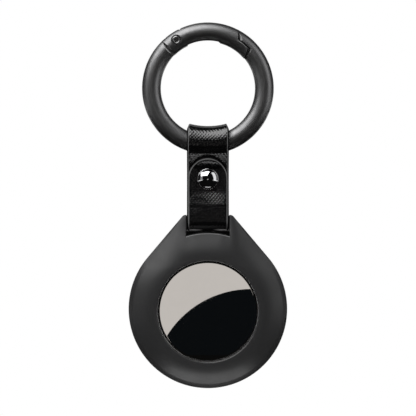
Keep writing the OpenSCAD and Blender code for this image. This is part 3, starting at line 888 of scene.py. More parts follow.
    def painted(self, place: Solid) -> bool:
        """Tells whether a place on the front facing lies on its edge band, coloured as edge paint and painted
        highlight.
        """
        x, _, z = place
        rise = max(z - self.rivet_z, 0) * self.facing_w / 2 / self.flap_rise
        return math.hypot(x, rise) > self.facing_w / 2 - self.edge_w

    def backing(self) -> list[bpy.types.Object]:
        """Makes the wider backing under the facing."""
        half = self.thickness / 2

        def cover(z: float) -> float:
            """Gives the outer face of the backing, which fills out round the fold."""
            return half - mix(self.backing_step, self.fill_room, eased((self.fill_z - z) / self.fill_fade))

        narrow = self.facing_w - self.backing_step
        front = self.ply("strap_front_backing", self.front_path(), self.flap_half(narrow, self.width), -half, cover)
        rear = self.ply("strap_rear_backing", self.rear_path(), self.neck_half(self.width, self.neck_w), -half, cover)
        for piece in (front, rear):
            Bench.bevel(piece, self.backing_edge_w, 2, 50)
        return [front, rear]

    def cap(self) -> bpy.types.Object:
        """Makes the rivet's domed cap, with a rolled edge."""
        seat = -(self.layer + self.thickness / 2)
        ball = ((self.cap_d / 2) ** 2 + self.cap_h ** 2) / (2 * self.cap_h)
        widest = math.degrees(math.asin(self.cap_d / 2 / ball))
        dome = [(ball * math.sin(math.radians(a)), seat - self.cap_h + ball - ball * math.cos(math.radians(a)))
                for a in span(0, widest - self.rim_turn, 24)]
        centre = self.cap_d / 2 - self.rim_roll
        rim = arc((centre, seat - self.rim_roll + self.rim_sink), self.rim_roll, range(-165, 46, 15))
        return Bench.turned("rivet_dome", [(0, seat), *dome, *rim, (centre, seat)], (0, self.rivet_z), 128)

    def post(self) -> bpy.types.Object:
        """Makes the rivet's rear head, slightly domed."""
        seat = self.layer + self.thickness / 2
        r, t = self.post_back_d / 2, self.post_back_t
        shank, inside = self.post_d / 2, seat - 1.0
        profile = [(0, inside), (shank, inside), (shank, seat), (r, seat)]
        profile += [(r * math.cos(math.radians(a)), seat + t * math.sin(math.radians(a))) for a in range(10, 91, 10)]
        return Bench.turned("rivet_rear_head", profile, (0, self.rivet_z), 72)

    def build(self) -> None:
        """Makes the strap and its rivet, and puts them on the strap's body."""
        facing, backing = self.facing(), self.backing()
        cap, post = self.cap(), self.post()
        for piece in (*facing, *backing):
            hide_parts("strap")
        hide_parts("rivet_cap")
        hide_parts("rivet_post")
        for piece in (*facing, *backing, cap, post):
            Bench.smooth(piece)
            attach(piece, "strap")
            self.pieces[piece.name] = piece


# ---------------------------------------------------------------- case


@dataclass
class Case:
    """The round case in its two shells: a rear tray with the strap's crossbar, and a domed front with a window.

    The front rises from the seam to a crease and from there as a dome to the window's rim. The strap comes in through
    a slot between the two ears, down to the curved lip in front and the sill behind.
    """

    # The body, its faces and the seam between the shells.
    case_r: float = 21.0
    case_z: float = -58.5177
    front_y: float = -5.35
    back_y: float = 5.35
    back_round: float = 1.8
    back_flat: float = 0.4
    split_y: float = -1.7
    seat_gap: float = 0.012
    seam_inset: float = 0.05
    seam_round: float = 0.1
    # The front's side wall up to the crease, which runs deeper at the ears.
    crease_y: float = -3.0
    crease_inset: float = 1.2
    wall_bow: float = 0.15
    ear_deep: float = 0.8
    ear_deep_from: float = -54.0
    ear_deep_over: float = 17.0
    # The window, the tracker's pocket, and the front's rim in the base's groove.
    window_z: float = -59.0177
    window_r: float = 13.4
    window_edge: float = 0.36
    rim_r: float = 13.78
    pocket_r: float = 16.2
    pocket_front: float = -4.3
    pocket_back: float = 4.0
    rim_in: float = 16.7
    rim_out: float = 17.7
    rim_end: float = -0.1
    groove_end: float = 0.0
    groove: float = 0.05
    # The ears, the crossbar between them, and the discs that close the view past the strap's sides.
    ear_x: float = 5.9
    ear_z: float = -34.8177
    ear_corner: float = 1.2
    ear_tuck: float = 0.6
    crossbar_z: float = -35.1177
    crossbar_r: float = 1.4
    crossbar_half: float = 6.2
    shoulder_r: float = 3.05
    shoulder_x: Flat = (5.58, 6.0)
    shoulder_top: float = 1.0
    # The strap's slot: its channel, its sill, its rounded lip and the face that sinks towards it.
    channel_half: float = 5.72
    slot_r: float = 20.7
    sill_y: float = 1.2196
    sill_z: float = -37.9677
    sill_room: float = 0.03
    lip_round: float = 1.25
    lip_start: float = 0.93
    lip_slump: float = 0.5
    lip_slump_over: float = 0.3
    lip_slump_at: Flat = (8.5, -44.5)
    lip_slump_fade: Flat = (4.0, 6.0)
    side_round: float = 0.3
    corner_share: float = 1.6
    # Upward tilt of the lip's faces that take the painted highlight.
    lip_highlight_up: Flat = (0.4, 0.8)
    # The notch in the seam for opening the case.
    pry_angle: float = 8.2
    pry_half: Flat = (0.5, 0.8)
    # Where tool solids end, clear of the case.
    tool_y: float = 9.0
    tool_top: float = -20.0
    pieces: dict[str, bpy.types.Object] = field(default_factory=dict)

    @staticmethod
    def tear(radius: float, z: float, corner: Flat, corner_r: float) -> list[Flat]:
        """Outlines a round body with straight shoulders up to two rounded corners.

        Args:
            radius: Radius of the body.
            z: Height of the body's centre.
            corner: Centre of the right corner.
            corner_r: Radius of the corners.

        Returns:
            The outline, with the same number of points at every size.
        """
        rise = corner[1] - z
        lean = math.degrees(math.atan2(rise, corner[0]))
        apart = math.hypot(corner[0], rise)
        start = lean - math.degrees(math.acos(min(1.0, (radius - corner_r) / apart)))

        def line(a: Flat, b: Flat, steps: int) -> list[Flat]:
            """Points inside a straight run."""
            return [(mix(a[0], b[0], i / steps), mix(a[1], b[1], i / steps)) for i in range(1, steps)]

        right = arc(corner, corner_r, span(start, 90, 10))
        left = [(-x, y) for x, y in reversed(right)]
        body = arc((0.0, z), radius, span(180 - start, 360 + start, 150))
        return (right + line(right[-1], left[0], 14) + left + line(left[-1], body[0], 20) + body
                + line(body[-1], right[0], 20))

    def wall(self, y: float, inset: float, ear_down: float = 0.0) -> list[Solid]:
        """Gives one section of a side wall, drawn in by an inset."""
        outline = self.tear(self.case_r - inset, self.case_z, (self.ear_x, self.ear_z - ear_down), self.ear_corner)
        return [(x, y, z) for x, z in outline]

    def crease(self, z: float) -> float:
        """Gives the crease's place in Y by height: it runs further back at the ears."""
        return self.crease_y + self.ear_deep * eased((z - self.ear_deep_from) / self.ear_deep_over)

    def flank(self, share: float) -> list[Solid]:
        """Gives one section of the front's side wall, from the seam at 0 to the crease at 1."""
        bow = mix(share, share * share, self.wall_bow)
        inset = mix(self.seam_inset, self.crease_inset, bow)
        return [(x, mix(self.split_y, self.crease(z), share), z) for x, _, z in self.wall(0.0, inset)]

    def dome(self, share: float) -> list[Solid]:
        """Gives one section of the domed front, from its edge at 0 to the window's rim at 1."""
        corner_r = mix(self.ear_corner, 0.6 * self.rim_r, share)
        top = mix(self.ear_z + self.ear_corner, self.window_z + self.rim_r, share)
        edge = self.wall(0.0, self.crease_inset)
        outline = self.tear(mix(self.case_r - self.crease_inset, self.rim_r, share),
                            mix(self.case_z, self.window_z, share),
                            (mix(self.ear_x, self.window_edge, share), top - corner_r), corner_r)
        rise = math.sin(share * math.pi / 2)
        slump = self.lip_slump * eased(share / self.lip_slump_over)
        return [(x, mix(self.crease(low[2]), self.front_y, rise) + slump * self.near_slot(x, z), z)
                for (x, z), low in zip(outline, edge)]

    def near_slot(self, x: float, z: float) -> float:
        """Gives how far the face has sunk towards the slot's lip, from 0 near the window to 1 at the lip."""
        (side, low), (fade_x, fade_z) = self.lip_slump_at, self.lip_slump_fade
        return eased((z - low) / fade_z) * eased((side - abs(x)) / fade_x)

    def ring(self, radius: float, y: float) -> list[Solid]:
        """Gives a circle round the window's centre, its points in line with those of the window's rim."""
        turns = [math.degrees(math.atan2(z - self.window_z, x)) for x, _, z in self.dome(1.0)]
        return [(px, y, self.window_z + pz) for px, pz in (polar(radius, t) for t in turns)]

    def lip(self, steps: int) -> list[Flat]:
        """Gives the slot's curved lip from right to left, as X and the height over the window's centre."""
        turn = math.degrees(math.acos(self.channel_half / self.slot_r))
        return arc((0.0, 0.0), self.slot_r, span(turn, 180 - turn, steps))

    def channel(self) -> bpy.types.Object:
        """Makes the tool solid for the strap's channel, with its curved lower lip, back to the sill."""
        lip = [(x, self.window_z + z) for x, z in self.lip(24)]
        top = [(-self.channel_half, self.tool_top), (self.channel_half, self.tool_top)]
        return Bench.prism("channel", lip + top, -self.tool_y, self.sill_y)

    def slot(self, piece: bpy.types.Object) -> bpy.types.Object:
        """Makes the tool solid for the strap's slot in the front, rounded where it meets the domed face.

        Args:
            piece: The front shell before the cut, whose face the rounding follows.

        Returns:
            The tool solid.
        """
        edge = self.slot_edge()
        faces = []
        for (x, z), (dx, dz), _ in edge:
            hit, place, _, _ = piece.ray_cast(Vector((x + dx, -20, z + dz)) * MM, Vector((0, 1, 0)))
            faces.append(place.y / MM if hit else self.crease(z))
        rings = [[(x, self.tool_y, z) for (x, z), _, _ in edge]]
        for t in (math.radians(a) for a in span(0, 90, 8)):
            out = 1 - math.cos(t)
            rings.append([(x + dx * out, face + deep * (self.lip_start - math.sin(t)), z + dz * out)
                          for ((x, z), (dx, dz), deep), face in zip(edge, faces)])
        rings.append([(x + dx, -self.tool_y, z + dz) for (x, z), (dx, dz), _ in edge])
        return Bench.loft("slot", rings)

    def slot_edge(self) -> list[tuple[Flat, Flat, float]]:
        """Lays out the slot's edge: along the lip from right to left, up the left side and down the right one.

        Returns:
            For each point its X and Z, how far its rounding spreads in X and Z, and how deep it goes.
        """
        half = self.channel_half
        corner = self.side_round * self.corner_share
        edge: list[tuple[Flat, Flat, float]] = []
        for x, z in self.lip(48):
            away = Vector((x, z)).normalized() * self.lip_round
            edge.append(((x, self.window_z + z), (corner * (x / half) ** 9 - away.x, -away.y), self.lip_round))
        foot = edge[-1][0][1]
        left, right = [], []
        for rise in (0.3, 0.7, 1.2, 1.8, 2.6, 3.6, 4.6, 20.0):
            fade = eased(rise / 1.8)
            across, down = mix(corner, self.side_round, fade), -self.lip_round * (1 - fade)
            deep = mix(self.lip_round, self.side_round, fade)
            left.append(((-half, foot + rise), (-across, down), deep))
            right.append(((half, foot + rise), (across, down), deep))
        return edge + left + list(reversed(right))

    def above_sill(self) -> bpy.types.Object:
        """Makes the tool solid for the rear of the channel, down to the sill behind the strap's fold."""
        half = self.channel_half
        low = self.sill_z + self.sill_room
        outline = [(half, low), (half, self.tool_top), (-half, self.tool_top), (-half, low)]
        return Bench.prism("above_sill", outline, self.sill_y - 1.0, self.tool_y)

    def front(self) -> bpy.types.Object:
        """Makes the domed front shell."""
        rings = [self.wall(self.split_y, self.seam_inset + self.seam_round)]
        rings += [self.flank(t) for t in (0.08, 0.25, 0.45, 0.65, 0.82, 0.95, 1)]
        rings += [self.dome(u) for u in (0.02, *span(0, 1, 18)[1:])]
        for a in span(0, 90, 6):
            turn = math.radians(a)
            rings.append(self.ring(self.window_r + self.window_edge * (1 - math.sin(turn)),
                                   self.front_y + self.window_edge * (1 - math.cos(turn))))
        rings += [self.ring(r, y) for r, y in (
            (self.window_r, self.pocket_front), (self.pocket_r, self.pocket_front), (self.pocket_r, self.split_y),
            (self.rim_in, self.split_y), (self.rim_in, self.rim_end), (self.rim_out, self.rim_end),
            (self.rim_out, self.split_y))]
        piece = Bench.loft("case_front_shell", rings, closed=True)
        Bench.combine(piece, self.slot(piece), Boolean.CUT)
        x, z = polar(self.case_r, -self.pry_angle)
        wide, tall = self.pry_half
        notch = [(x - wide, self.case_z + z - tall), (x + wide, self.case_z + z - tall),
                 (x + wide, self.case_z + z + tall), (x - wide, self.case_z + z + tall)]
        Bench.combine(piece, Bench.prism("notch", notch, self.split_y - wide, self.split_y + wide), Boolean.CUT)
        Bench.weld(piece, 0.005)
        # Slot 1 is a painted highlight along the top of the slot's lip.
        Bench.mark(piece, 1, self.on_lip_highlight)
        return piece

    def on_lip_highlight(self, place: Solid, normal: Vector) -> bool:
        """Tells whether a face lies on the outer turn of the slot's lip and tilts up, where a pale painted highlight
        goes.
        """
        x, _, z = place
        low, high = self.lip_highlight_up
        on_lip = -self.lip_round < math.hypot(x, z - self.window_z) - self.slot_r < 0
        return on_lip and abs(x) < self.channel_half + self.side_round and low < normal.z < high

    def base(self) -> bpy.types.Object:
        """Makes the rear tray, its pocket, the groove for the front's rim and the crossbar."""
        flat = self.back_round + self.back_flat
        rings = [self.wall(self.back_y, flat, self.ear_tuck * flat)]
        for a in span(0, 90, 8):
            turn = math.radians(a)
            inset = self.back_round * (1 - math.sin(turn))
            y = self.back_y - self.back_round * (1 - math.cos(turn))
            rings.append(self.wall(y, inset, self.ear_tuck * inset))
        seat = self.split_y + self.seat_gap
        groove_in, groove_out = self.rim_in - self.groove, self.rim_out + self.groove
        rings.append(self.wall(seat, 0.0))
        rings += [self.ring(r, y) for r, y in (
            (groove_out, seat), (groove_out, self.groove_end), (groove_in, self.groove_end), (groove_in, seat),
            (self.pocket_r, seat), (self.pocket_r, self.pocket_back))]
        piece = Bench.loft("case_rear_tray", rings)
        for tool in (self.channel(), self.above_sill()):
            Bench.combine(piece, tool, Boolean.CUT)
        near, far = self.shoulder_x
        front, top = self.split_y + 0.05, self.ear_z + self.shoulder_top
        for low, high, r in ((-self.crossbar_half, self.crossbar_half, self.crossbar_r),
                             (-far, -near, self.shoulder_r), (near, far, self.shoulder_r)):
            bar = [[(x, max(py, front), min(self.crossbar_z + pz, top)) for py, pz in circle(r, 64)]
                   for x in (low, high)]
            Bench.combine(piece, Bench.loft("crossbar", bar), Boolean.JOIN)
        Bench.weld(piece)
        Bench.bevel(piece, self.seam_round, 2, 60)
        return piece

    def build(self) -> None:
        """Makes the two shells and puts each on its body."""
        for piece, node, body in ((self.front(), "case_front", "front"), (self.base(), "case_base", "case")):
            Bench.smooth(piece, 30)
            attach(piece, body)
            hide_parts(node)
            self.pieces[node] = piece


# ---------------------------------------------------------------- coin tracker


@dataclass
class CoinTracker:
    """The tracker in the case. Its steel cover is made anew, and the CAD nodes inside it are dressed."""

    axis: Flat = (0.0, -59.0177)
    steel_r: float = 13.1
    front: float = -4.15
    crown: float = 0.15
    sheet: float = 0.45
    skirt: float = 1.1
    edge: float = 0.12
    pieces: dict[str, bpy.types.Object] = field(default_factory=dict)

    def cover(self) -> bpy.types.Object:
        """Makes the polished cover: a shallow crowned cup with a rolled edge."""
        brow = self.front + self.crown
        flat_r = self.steel_r - self.edge
        face = [(r, self.front + self.crown * (r / self.steel_r) ** 2) for r in span(0, flat_r, 40)]
        roll = [(flat_r + self.edge * math.sin(t), brow + self.edge * (1 - math.cos(t)))
                for t in (math.radians(a) for a in span(10, 90, 8))]
        inner = self.front + self.sheet
        cup = [(self.steel_r, inner + self.skirt), (self.steel_r - self.sheet, inner + self.skirt),
               (self.steel_r - self.sheet, inner), (0, inner)]
        return Bench.turned("steel_cover", face + roll + cup, self.axis, 192)

    def build(self) -> None:
        """Makes the cover and puts it on its body."""
        piece = self.cover()
        Bench.smooth(piece)
        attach(piece, "cover")
        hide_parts("battery_cover")
        self.pieces["battery_cover"] = piece


# ---------------------------------------------------------------- finishes

Tree = bpy.types.NodeTree
Node = bpy.types.Node
Socket = bpy.types.NodeSocket


def wire(tree: Tree, out: Socket, into: Socket) -> None:
    """Links an output to an input."""
    tree.links.new(out, into)


def put(tree: Tree, kind: str, values: dict[str, object] | None = None, **settings: object) -> Node:
    """Adds a node.

    Args:
        tree: The node tree.
        kind: The node's type, without "ShaderNode".
        values: Values of its inputs by name.
        settings: Its own settings.

    Returns:
        The node.
    """
    node = tree.nodes.new("ShaderNode" + kind)
    for name, value in settings.items():
        setattr(node, name, value)
    for name, value in (values or {}).items():
        node.inputs[name].default_value = value
    return node


def maths(tree: Tree, how: str, first: Socket | float, second: Socket | float = 0.0) -> Socket:
    """Adds a Math node between two sockets or numbers, and gives its output."""
    node = put(tree, "Math", operation=how)
    for i, value in enumerate((first, second)):
        if isinstance(value, (int, float)):
            node.inputs[i].default_value = value
        else:
            wire(tree, value, node.inputs[i])
    return node.outputs[0]


def spread(tree: Tree, value: Socket, limits: dict[str, float], **settings: object) -> Socket:
    """Adds a Map Range node with the given limits, and gives its output."""
    node = put(tree, "MapRange", limits, **settings)
    wire(tree, value, node.inputs["Value"])
    return node.outputs[0]


def mixed(tree: Tree, share: Socket, first: Node, second: Node) -> Node:
    """Adds a Mix Shader node, which is all the second shader where the share is 1."""
    node = put(tree, "MixShader")
    for i, out in enumerate((share, first.outputs[0], second.outputs[0])):
        wire(tree, out, node.inputs[i])
    return node


def new_material(name: str) -> bpy.types.Material:
    """Adds a material with an empty node tree."""
    material = bpy.data.materials.new(name)
    material.use_nodes = True
    material.node_tree.nodes.clear()
    return material


def new_group(name: str, inputs: dict[str, float | None], outputs: dict[str, str]) -> tuple[Tree, Node, Node]:
    """Starts a shader node group.

    Args:
        name: The group's name.
        inputs: Its number inputs with their defaults, or None for a vector input.
        outputs: Its outputs with their socket types.

    Returns:
        The group's tree, its input node and its output node.
    """
    tree = bpy.data.node_groups.new(name, "ShaderNodeTree")
    for label, default in inputs.items():
        kind = "NodeSocketVector" if default is None else "NodeSocketFloat"
        socket = tree.interface.new_socket(name=label, in_out="INPUT", socket_type=kind)
        if default is not None:
            socket.default_value = default
    for label, kind in outputs.items():
        tree.interface.new_socket(name=label, in_out="OUTPUT", socket_type=kind)
    return tree, tree.nodes.new("NodeGroupInput"), tree.nodes.new("NodeGroupOutput")


def make_handling() -> Tree:
    """Builds the group for fine grain and for the faint marks that handling leaves.

    Returns:
        A group that puts out a height for the grain and a mask for the marks.
    """
    tree, source, sink = new_group(
        "handling", {"Place": None, "Grain": 9000.0, "Marks": 220.0},
        {"Height": "NodeSocketFloat", "Mask": "NodeSocketFloat"})
    grain = put(tree, "TexNoise", {"Detail": 3.0, "Roughness": 0.6})
    wire(tree, source.outputs["Place"], grain.inputs["Vector"])
    wire(tree, source.outputs["Grain"], grain.inputs["Scale"])
    marks = put(tree, "TexNoise", {"Detail": 6.0, "Roughness": 0.7, "Distortion": 0.4})
    wire(tree, source.outputs["Place"], marks.inputs["Vector"])
    wire(tree, source.outputs["Marks"], marks.inputs["Scale"])
    wire(tree, grain.outputs[0], sink.inputs["Height"])
    wire(tree, spread(tree, marks.outputs[0], {"From Min": 0.38, "From Max": 0.68}), sink.inputs["Mask"])
    return tree


def make_cross_grain() -> Tree:
    """Builds the group for leather pressed with a fine diagonal cross grain.

    Returns:
        A group that puts out the grain's height and a mask of its valleys.
    """
    tree, source, sink = new_group(
        "cross_grain", {"Place": None, "Pitch": 1900.0, "Unevenness": 900.0},
        {"Height": "NodeSocketFloat", "Valleys": "NodeSocketFloat"})
    wander = put(tree, "TexNoise", {"Detail": 2.0})
    wire(tree, source.outputs["Place"], wander.inputs["Vector"])
    wire(tree, source.outputs["Unevenness"], wander.inputs["Scale"])
    shift = put(tree, "VectorMath", operation="MULTIPLY_ADD")
    wire(tree, wander.outputs["Color"], shift.inputs[0])
    shift.inputs[1].default_value = (0.0005, 0.0005, 0.0005)
    wire(tree, source.outputs["Place"], shift.inputs[2])
    ridges = []
    for lean in (38.0, -42.0):
        turn = put(tree, "VectorRotate", rotation_type="Y_AXIS")
        turn.inputs["Angle"].default_value = math.radians(lean)
        wire(tree, shift.outputs[0], turn.inputs["Vector"])
        split = put(tree, "SeparateXYZ")
        wire(tree, turn.outputs[0], split.inputs[0])
        phase = maths(tree, "MULTIPLY", split.outputs["X"], source.outputs["Pitch"])
        wave = maths(tree, "SINE", maths(tree, "MULTIPLY", phase, 2 * math.pi))
        ridges.append(maths(tree, "ADD", maths(tree, "MULTIPLY", wave, 0.5), 0.5))
    both = maths(tree, "MULTIPLY", ridges[0], ridges[1])
    height = maths(tree, "POWER", both, 0.6)
    wire(tree, height, sink.inputs["Height"])
    wire(tree, maths(tree, "SUBTRACT", 1.0, height), sink.inputs["Valleys"])
    return tree


@dataclass(frozen=True)
class Finish:
    """A finish with a plain colour that handling has varied a little.

    Its colour, roughness and bump vary over the surface, and the rest is set on the shader itself.
    """

    name: str
    colour: Solid
    roughness: tuple[float, float] = (0.35, 0.45)
    metallic: float = 0.0
    specular: float = 0.5
    ior: float = 1.5
    shade: float = 0.85
    grain: float = 9000.0
    marks: float = 220.0
    bump: float = 0.1
    depth: float = 0.01

    def shader(self, tree: Tree) -> Node:
        """Adds the shader with the values that are the same all over."""
        return put(tree, "BsdfPrincipled", {
            "Metallic": self.metallic, "Specular IOR Level": self.specular, "IOR": self.ior})

    def texture(self, tree: Tree, place: Socket, handling: Node, groups: dict[str, Tree]) -> tuple[Socket, Socket]:
        """Gives the mask that the roughness follows, and the height of the surface's texture."""
        return handling.outputs["Mask"], handling.outputs["Height"]

    def tint(self, tree: Tree, place: Socket, handling: Node) -> Socket:
        """Gives the surface's colour."""
        blend = put(tree, "MixRGB", {"Color1": (*self.colour, 1),
                                     "Color2": (*(c * self.shade for c in self.colour), 1)})
        wire(tree, handling.outputs["Mask"], blend.inputs["Fac"])
        return blend.outputs[0]

    def make(self, groups: dict[str, Tree]) -> bpy.types.Material:
        """Builds the material.

        Args:
            groups: The shared node groups by name.

        Returns:
            The material.
        """
        material = new_material(self.name)
        material.diffuse_color = (*self.colour, 1)
        tree = material.node_tree
        place = put(tree, "TexCoord").outputs["Object"]
        handling = put(tree, "Group", node_tree=groups["handling"])
        for name, value in (("Grain", self.grain), ("Marks", self.marks)):
            handling.inputs[name].default_value = value
        wire(tree, place, handling.inputs["Place"])
        shader = self.shader(tree)
        self.finish_tree(tree, place, handling, shader, groups)
        out = put(tree, "OutputMaterial")
        wire(tree, shader.outputs[0], out.inputs["Surface"])
        return material

    def finish_tree(self, tree: Tree, place: Socket, handling: Node, shader: Node, groups: dict[str, Tree]) -> None:
        """Wires what varies over the surface to the shader."""
        mask, height = self.texture(tree, place, handling, groups)
        wire(tree, self.tint(tree, place, handling), shader.inputs["Base Color"])
        low, high = self.roughness
        wire(tree, spread(tree, mask, {"To Min": low, "To Max": high}), shader.inputs["Roughness"])
        bump = put(tree, "Bump", {"Strength": self.bump, "Distance": self.depth * MM})
        wire(tree, height, bump.inputs["Height"])
        wire(tree, bump.outputs[0], shader.inputs["Normal"])


@dataclass(frozen=True)
class CrossGrainLeather(Finish):
    """Leather with a fine pressed cross grain, duller in its valleys."""

    pitch: float = 1480.0
    fine: float = 0.35

    def texture(self, tree: Tree, place: Socket, handling: Node, groups: dict[str, Tree]) -> tuple[Socket, Socket]:
        """Gives the valleys of the pressed grain, and its height with the fine grain on it."""
        grain = put(tree, "Group", node_tree=groups["cross_grain"])
        grain.inputs["Pitch"].default_value = self.pitch
        wire(tree, place, grain.inputs["Place"])
        fine = maths(tree, "MULTIPLY", handling.outputs["Height"], self.fine)
        return grain.outputs["Valleys"], maths(tree, "ADD", grain.outputs["Height"], fine)


@dataclass(frozen=True)
class PaintedHighlightFold(Finish):
    """A painted highlight on leather: pale towards the ends of a fold, and still black in its middle."""

    middle: Solid = (0.0025, 0.0025, 0.0027)
    fade: Flat = (1.0, 3.9)

    def tint(self, tree: Tree, place: Socket, handling: Node) -> Socket:
        """Gives the colour by the distance from the strap's long middle line."""
        parts = put(tree, "SeparateXYZ")
        wire(tree, place, parts.inputs[0])
        near, far = (reach * MM for reach in self.fade)
        fade = spread(tree, maths(tree, "ABSOLUTE", parts.outputs["X"]), {"From Min": near, "From Max": far},
                      interpolation_type="SMOOTHSTEP")
        blend = put(tree, "MixRGB", {"Color1": (*self.middle, 1)})
        wire(tree, fade, blend.inputs["Fac"])
        wire(tree, super().tint(tree, place, handling), blend.inputs["Color2"])
        return blend.outputs[0]


FINISHES: dict[str, Finish] = {f.name: f for f in (
    Finish("gunmetal", (0.315, 0.315, 0.318), (0.40, 0.47), 1.0, shade=0.9, bump=0.06, depth=0.003, marks=500),
    # Painted highlight: a lighter, half-metallic colour on the ring's edges that face the key light.
    Finish("painted_highlight_edge", (0.55, 0.55, 0.55), (0.35, 0.5), 0.4, bump=0.1, depth=0.004),
    Finish("rivet_metal", (0.5, 0.5, 0.5), (0.2, 0.28), 1.0, bump=0.08, depth=0.004),
    CrossGrainLeather("grain_leather", (0.0025, 0.0025, 0.0027), (0.08, 0.16), specular=0.8, ior=1.7, bump=1.0,
                      depth=0.038, grain=6000, marks=400),
    # Edge paint, made a lighter grey as a painted highlight along the edges.
    Finish("edge_paint_and_highlight", (0.13, 0.13, 0.13), (0.4, 0.55), specular=0.4, bump=0.3, depth=0.015,
           grain=5000),
    # Painted highlight: a pale line along the bottom of the strap's fold, dark in its middle.
    PaintedHighlightFold("painted_highlight_fold", (0.75, 0.75, 0.75), (0.3, 0.45), specular=0.5, bump=0.3, depth=0.015, grain=5000),
    # Painted highlight: a lighter grey on the leather's top where it bends over the ring.
    Finish("painted_sheen_leather", (0.075, 0.075, 0.075), (0.45, 0.6), specular=0.3, bump=0.3, depth=0.01, grain=5000),
    Finish("leather_backing", (0.003, 0.003, 0.003), (0.7, 0.85), specular=0.15, bump=0.7, depth=0.06, grain=4000),
    Finish("black_nickel", (0.8, 0.8, 0.81), (0.03, 0.06), 1.0, bump=0.02, depth=0.002, marks=300),
    Finish("soft_touch_plastic", (0.026, 0.026, 0.0268), (0.38, 0.45), specular=0.65, bump=0.12, depth=0.006,
           grain=12000, marks=90),
    # Painted highlight: a pale line along the top of the slot's lip.
    Finish("painted_highlight_plastic", (0.26, 0.26, 0.262), (0.35, 0.42), bump=0.1, depth=0.005, marks=90),
    Finish("polished_steel", (0.74, 0.72, 0.70), (0.006, 0.014), 1.0, shade=0.98, bump=0.002, depth=0.0005,
           marks=150),
    Finish("white_plastic", (0.82, 0.82, 0.81), (0.12, 0.2), shade=0.97, bump=0.03, depth=0.004),
    Finish("seal_rubber", (0.02, 0.02, 0.02), (0.6, 0.75), bump=0.2, depth=0.01),
    Finish("solder_mask", (0.015, 0.09, 0.035), (0.2, 0.3), shade=0.8, bump=0.1, depth=0.01, marks=900),
    Finish("gold_flash", (0.83, 0.61, 0.27), (0.18, 0.3), 1.0, bump=0.05, depth=0.004),
    Finish("spring_steel", (0.55, 0.55, 0.56), (0.22, 0.35), 1.0, bump=0.1, depth=0.005),
    Finish("nickel_plate", (0.62, 0.6, 0.57), (0.12, 0.22), 1.0, bump=0.05, depth=0.004),
)}

CAD_FINISHES: dict[str, str] = {
    "gate_plunger": "spring_steel", "gate_spring": "spring_steel", "tag_housing": "white_plastic",
    "cover_seal": "seal_rubber", "tag_tray": "white_plastic", "circuit_board": "solder_mask",
    "antenna_ring": "gold_flash", "speaker_magnet": "nickel_plate", "voice_coil": "gold_flash",
    "battery_contacts": "gold_flash", "battery_can": "nickel_plate", "battery_lid": "nickel_plate",
    "battery_gasket": "seal_rubber",
}

PIECE_FINISHES: dict[str, tuple[str, ...]] = {
    "ring_bar": ("gunmetal", "painted_highlight_edge"),
    "spring_gate": ("gunmetal", "painted_highlight_edge"),
    "pivot_eyelet": ("rivet_metal",),
    "strap_front_facing": ("grain_leather", "edge_paint_and_highlight", "painted_highlight_fold"),
    "strap_rear_facing": ("grain_leather", "edge_paint_and_highlight", "painted_sheen_leather"),
    "strap_front_backing": ("leather_backing",),
    "strap_rear_backing": ("leather_backing",),
    "rivet_dome": ("black_nickel",),
    "rivet_rear_head": ("black_nickel",),
    "case_front_shell": ("soft_touch_plastic", "painted_highlight_plastic"),
    "case_rear_tray": ("soft_touch_plastic",),
    "steel_cover": ("polished_steel",),
}


class Dresser:
    """Gives every piece its finish."""

    def __init__(self) -> None:
        """Builds the shared node groups and all the materials."""
        groups = {"handling": make_handling(), "cross_grain": make_cross_grain()}
        self.materials = {name: finish.make(groups) for name, finish in FINISHES.items()}

    def dress(self, piece: bpy.types.Object, finishes: Sequence[str]) -> None:
        """Puts finishes on a piece's material slots, in order."""
        Bench.slots(piece, len(finishes))
        for i in range(len(piece.data.materials)):
            piece.data.materials[i] = self.materials[finishes[min(i, len(finishes) - 1)]]

    def dress_all(self, pieces: Iterable[bpy.types.Object]) -> None:
        """Dresses the new pieces and the CAD nodes that stay in view."""
        for piece in pieces:
            self.dress(piece, PIECE_FINISHES[piece.name])
        for node, finish in CAD_FINISHES.items():
            self.dress(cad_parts[node], (finish,))


# ---------------------------------------------------------------- studio


@dataclass(frozen=True)
class Softbox:
    """A soft rectangular lamp: its place, size and brightness, and the direction of its width."""

    name: str
    place: Solid
    size: Flat
    level: float
    width_along: Solid
    aim: Solid = (0.0, 0.0, -30.0)

    def hang(self) -> None:
        """Adds the lamp. Its power gives its face the wanted brightness, where 1 is white."""
        bpy.ops.object.light_add(type="AREA", location=[c * MM for c in self.place])
        lamp = bpy.context.object
        lamp.name = self.name
        lamp.data.shape = "RECTANGLE"
        lamp.data.size, lamp.data.size_y = self.size[0] * MM, self.size[1] * MM
        lamp.data.energy = math.pi * lamp.data.size * lamp.data.size_y * self.level
        back = (Vector(self.place) - Vector(self.aim)).normalized()
        across = Vector(self.width_along)
        across = (across - across.dot(back) * back).normalized()
        lamp.rotation_euler = Matrix((across, back.cross(across), back)).transposed().to_euler()
        lamp.visible_camera = False


SOFTBOXES = (
    Softbox("key_softbox", (-250, -230, 470), (750, 630), 2.5, (0.81, -0.55, 0.17)),
    Softbox("right_softbox", (524, -209, 185), (330, 850), 0.9, (0.6, 0.8, 0.1)),
    Softbox("left_fill", (-560, -300, -20), (250, 600), 0.3, (0.5, -0.86, 0.0)),
)


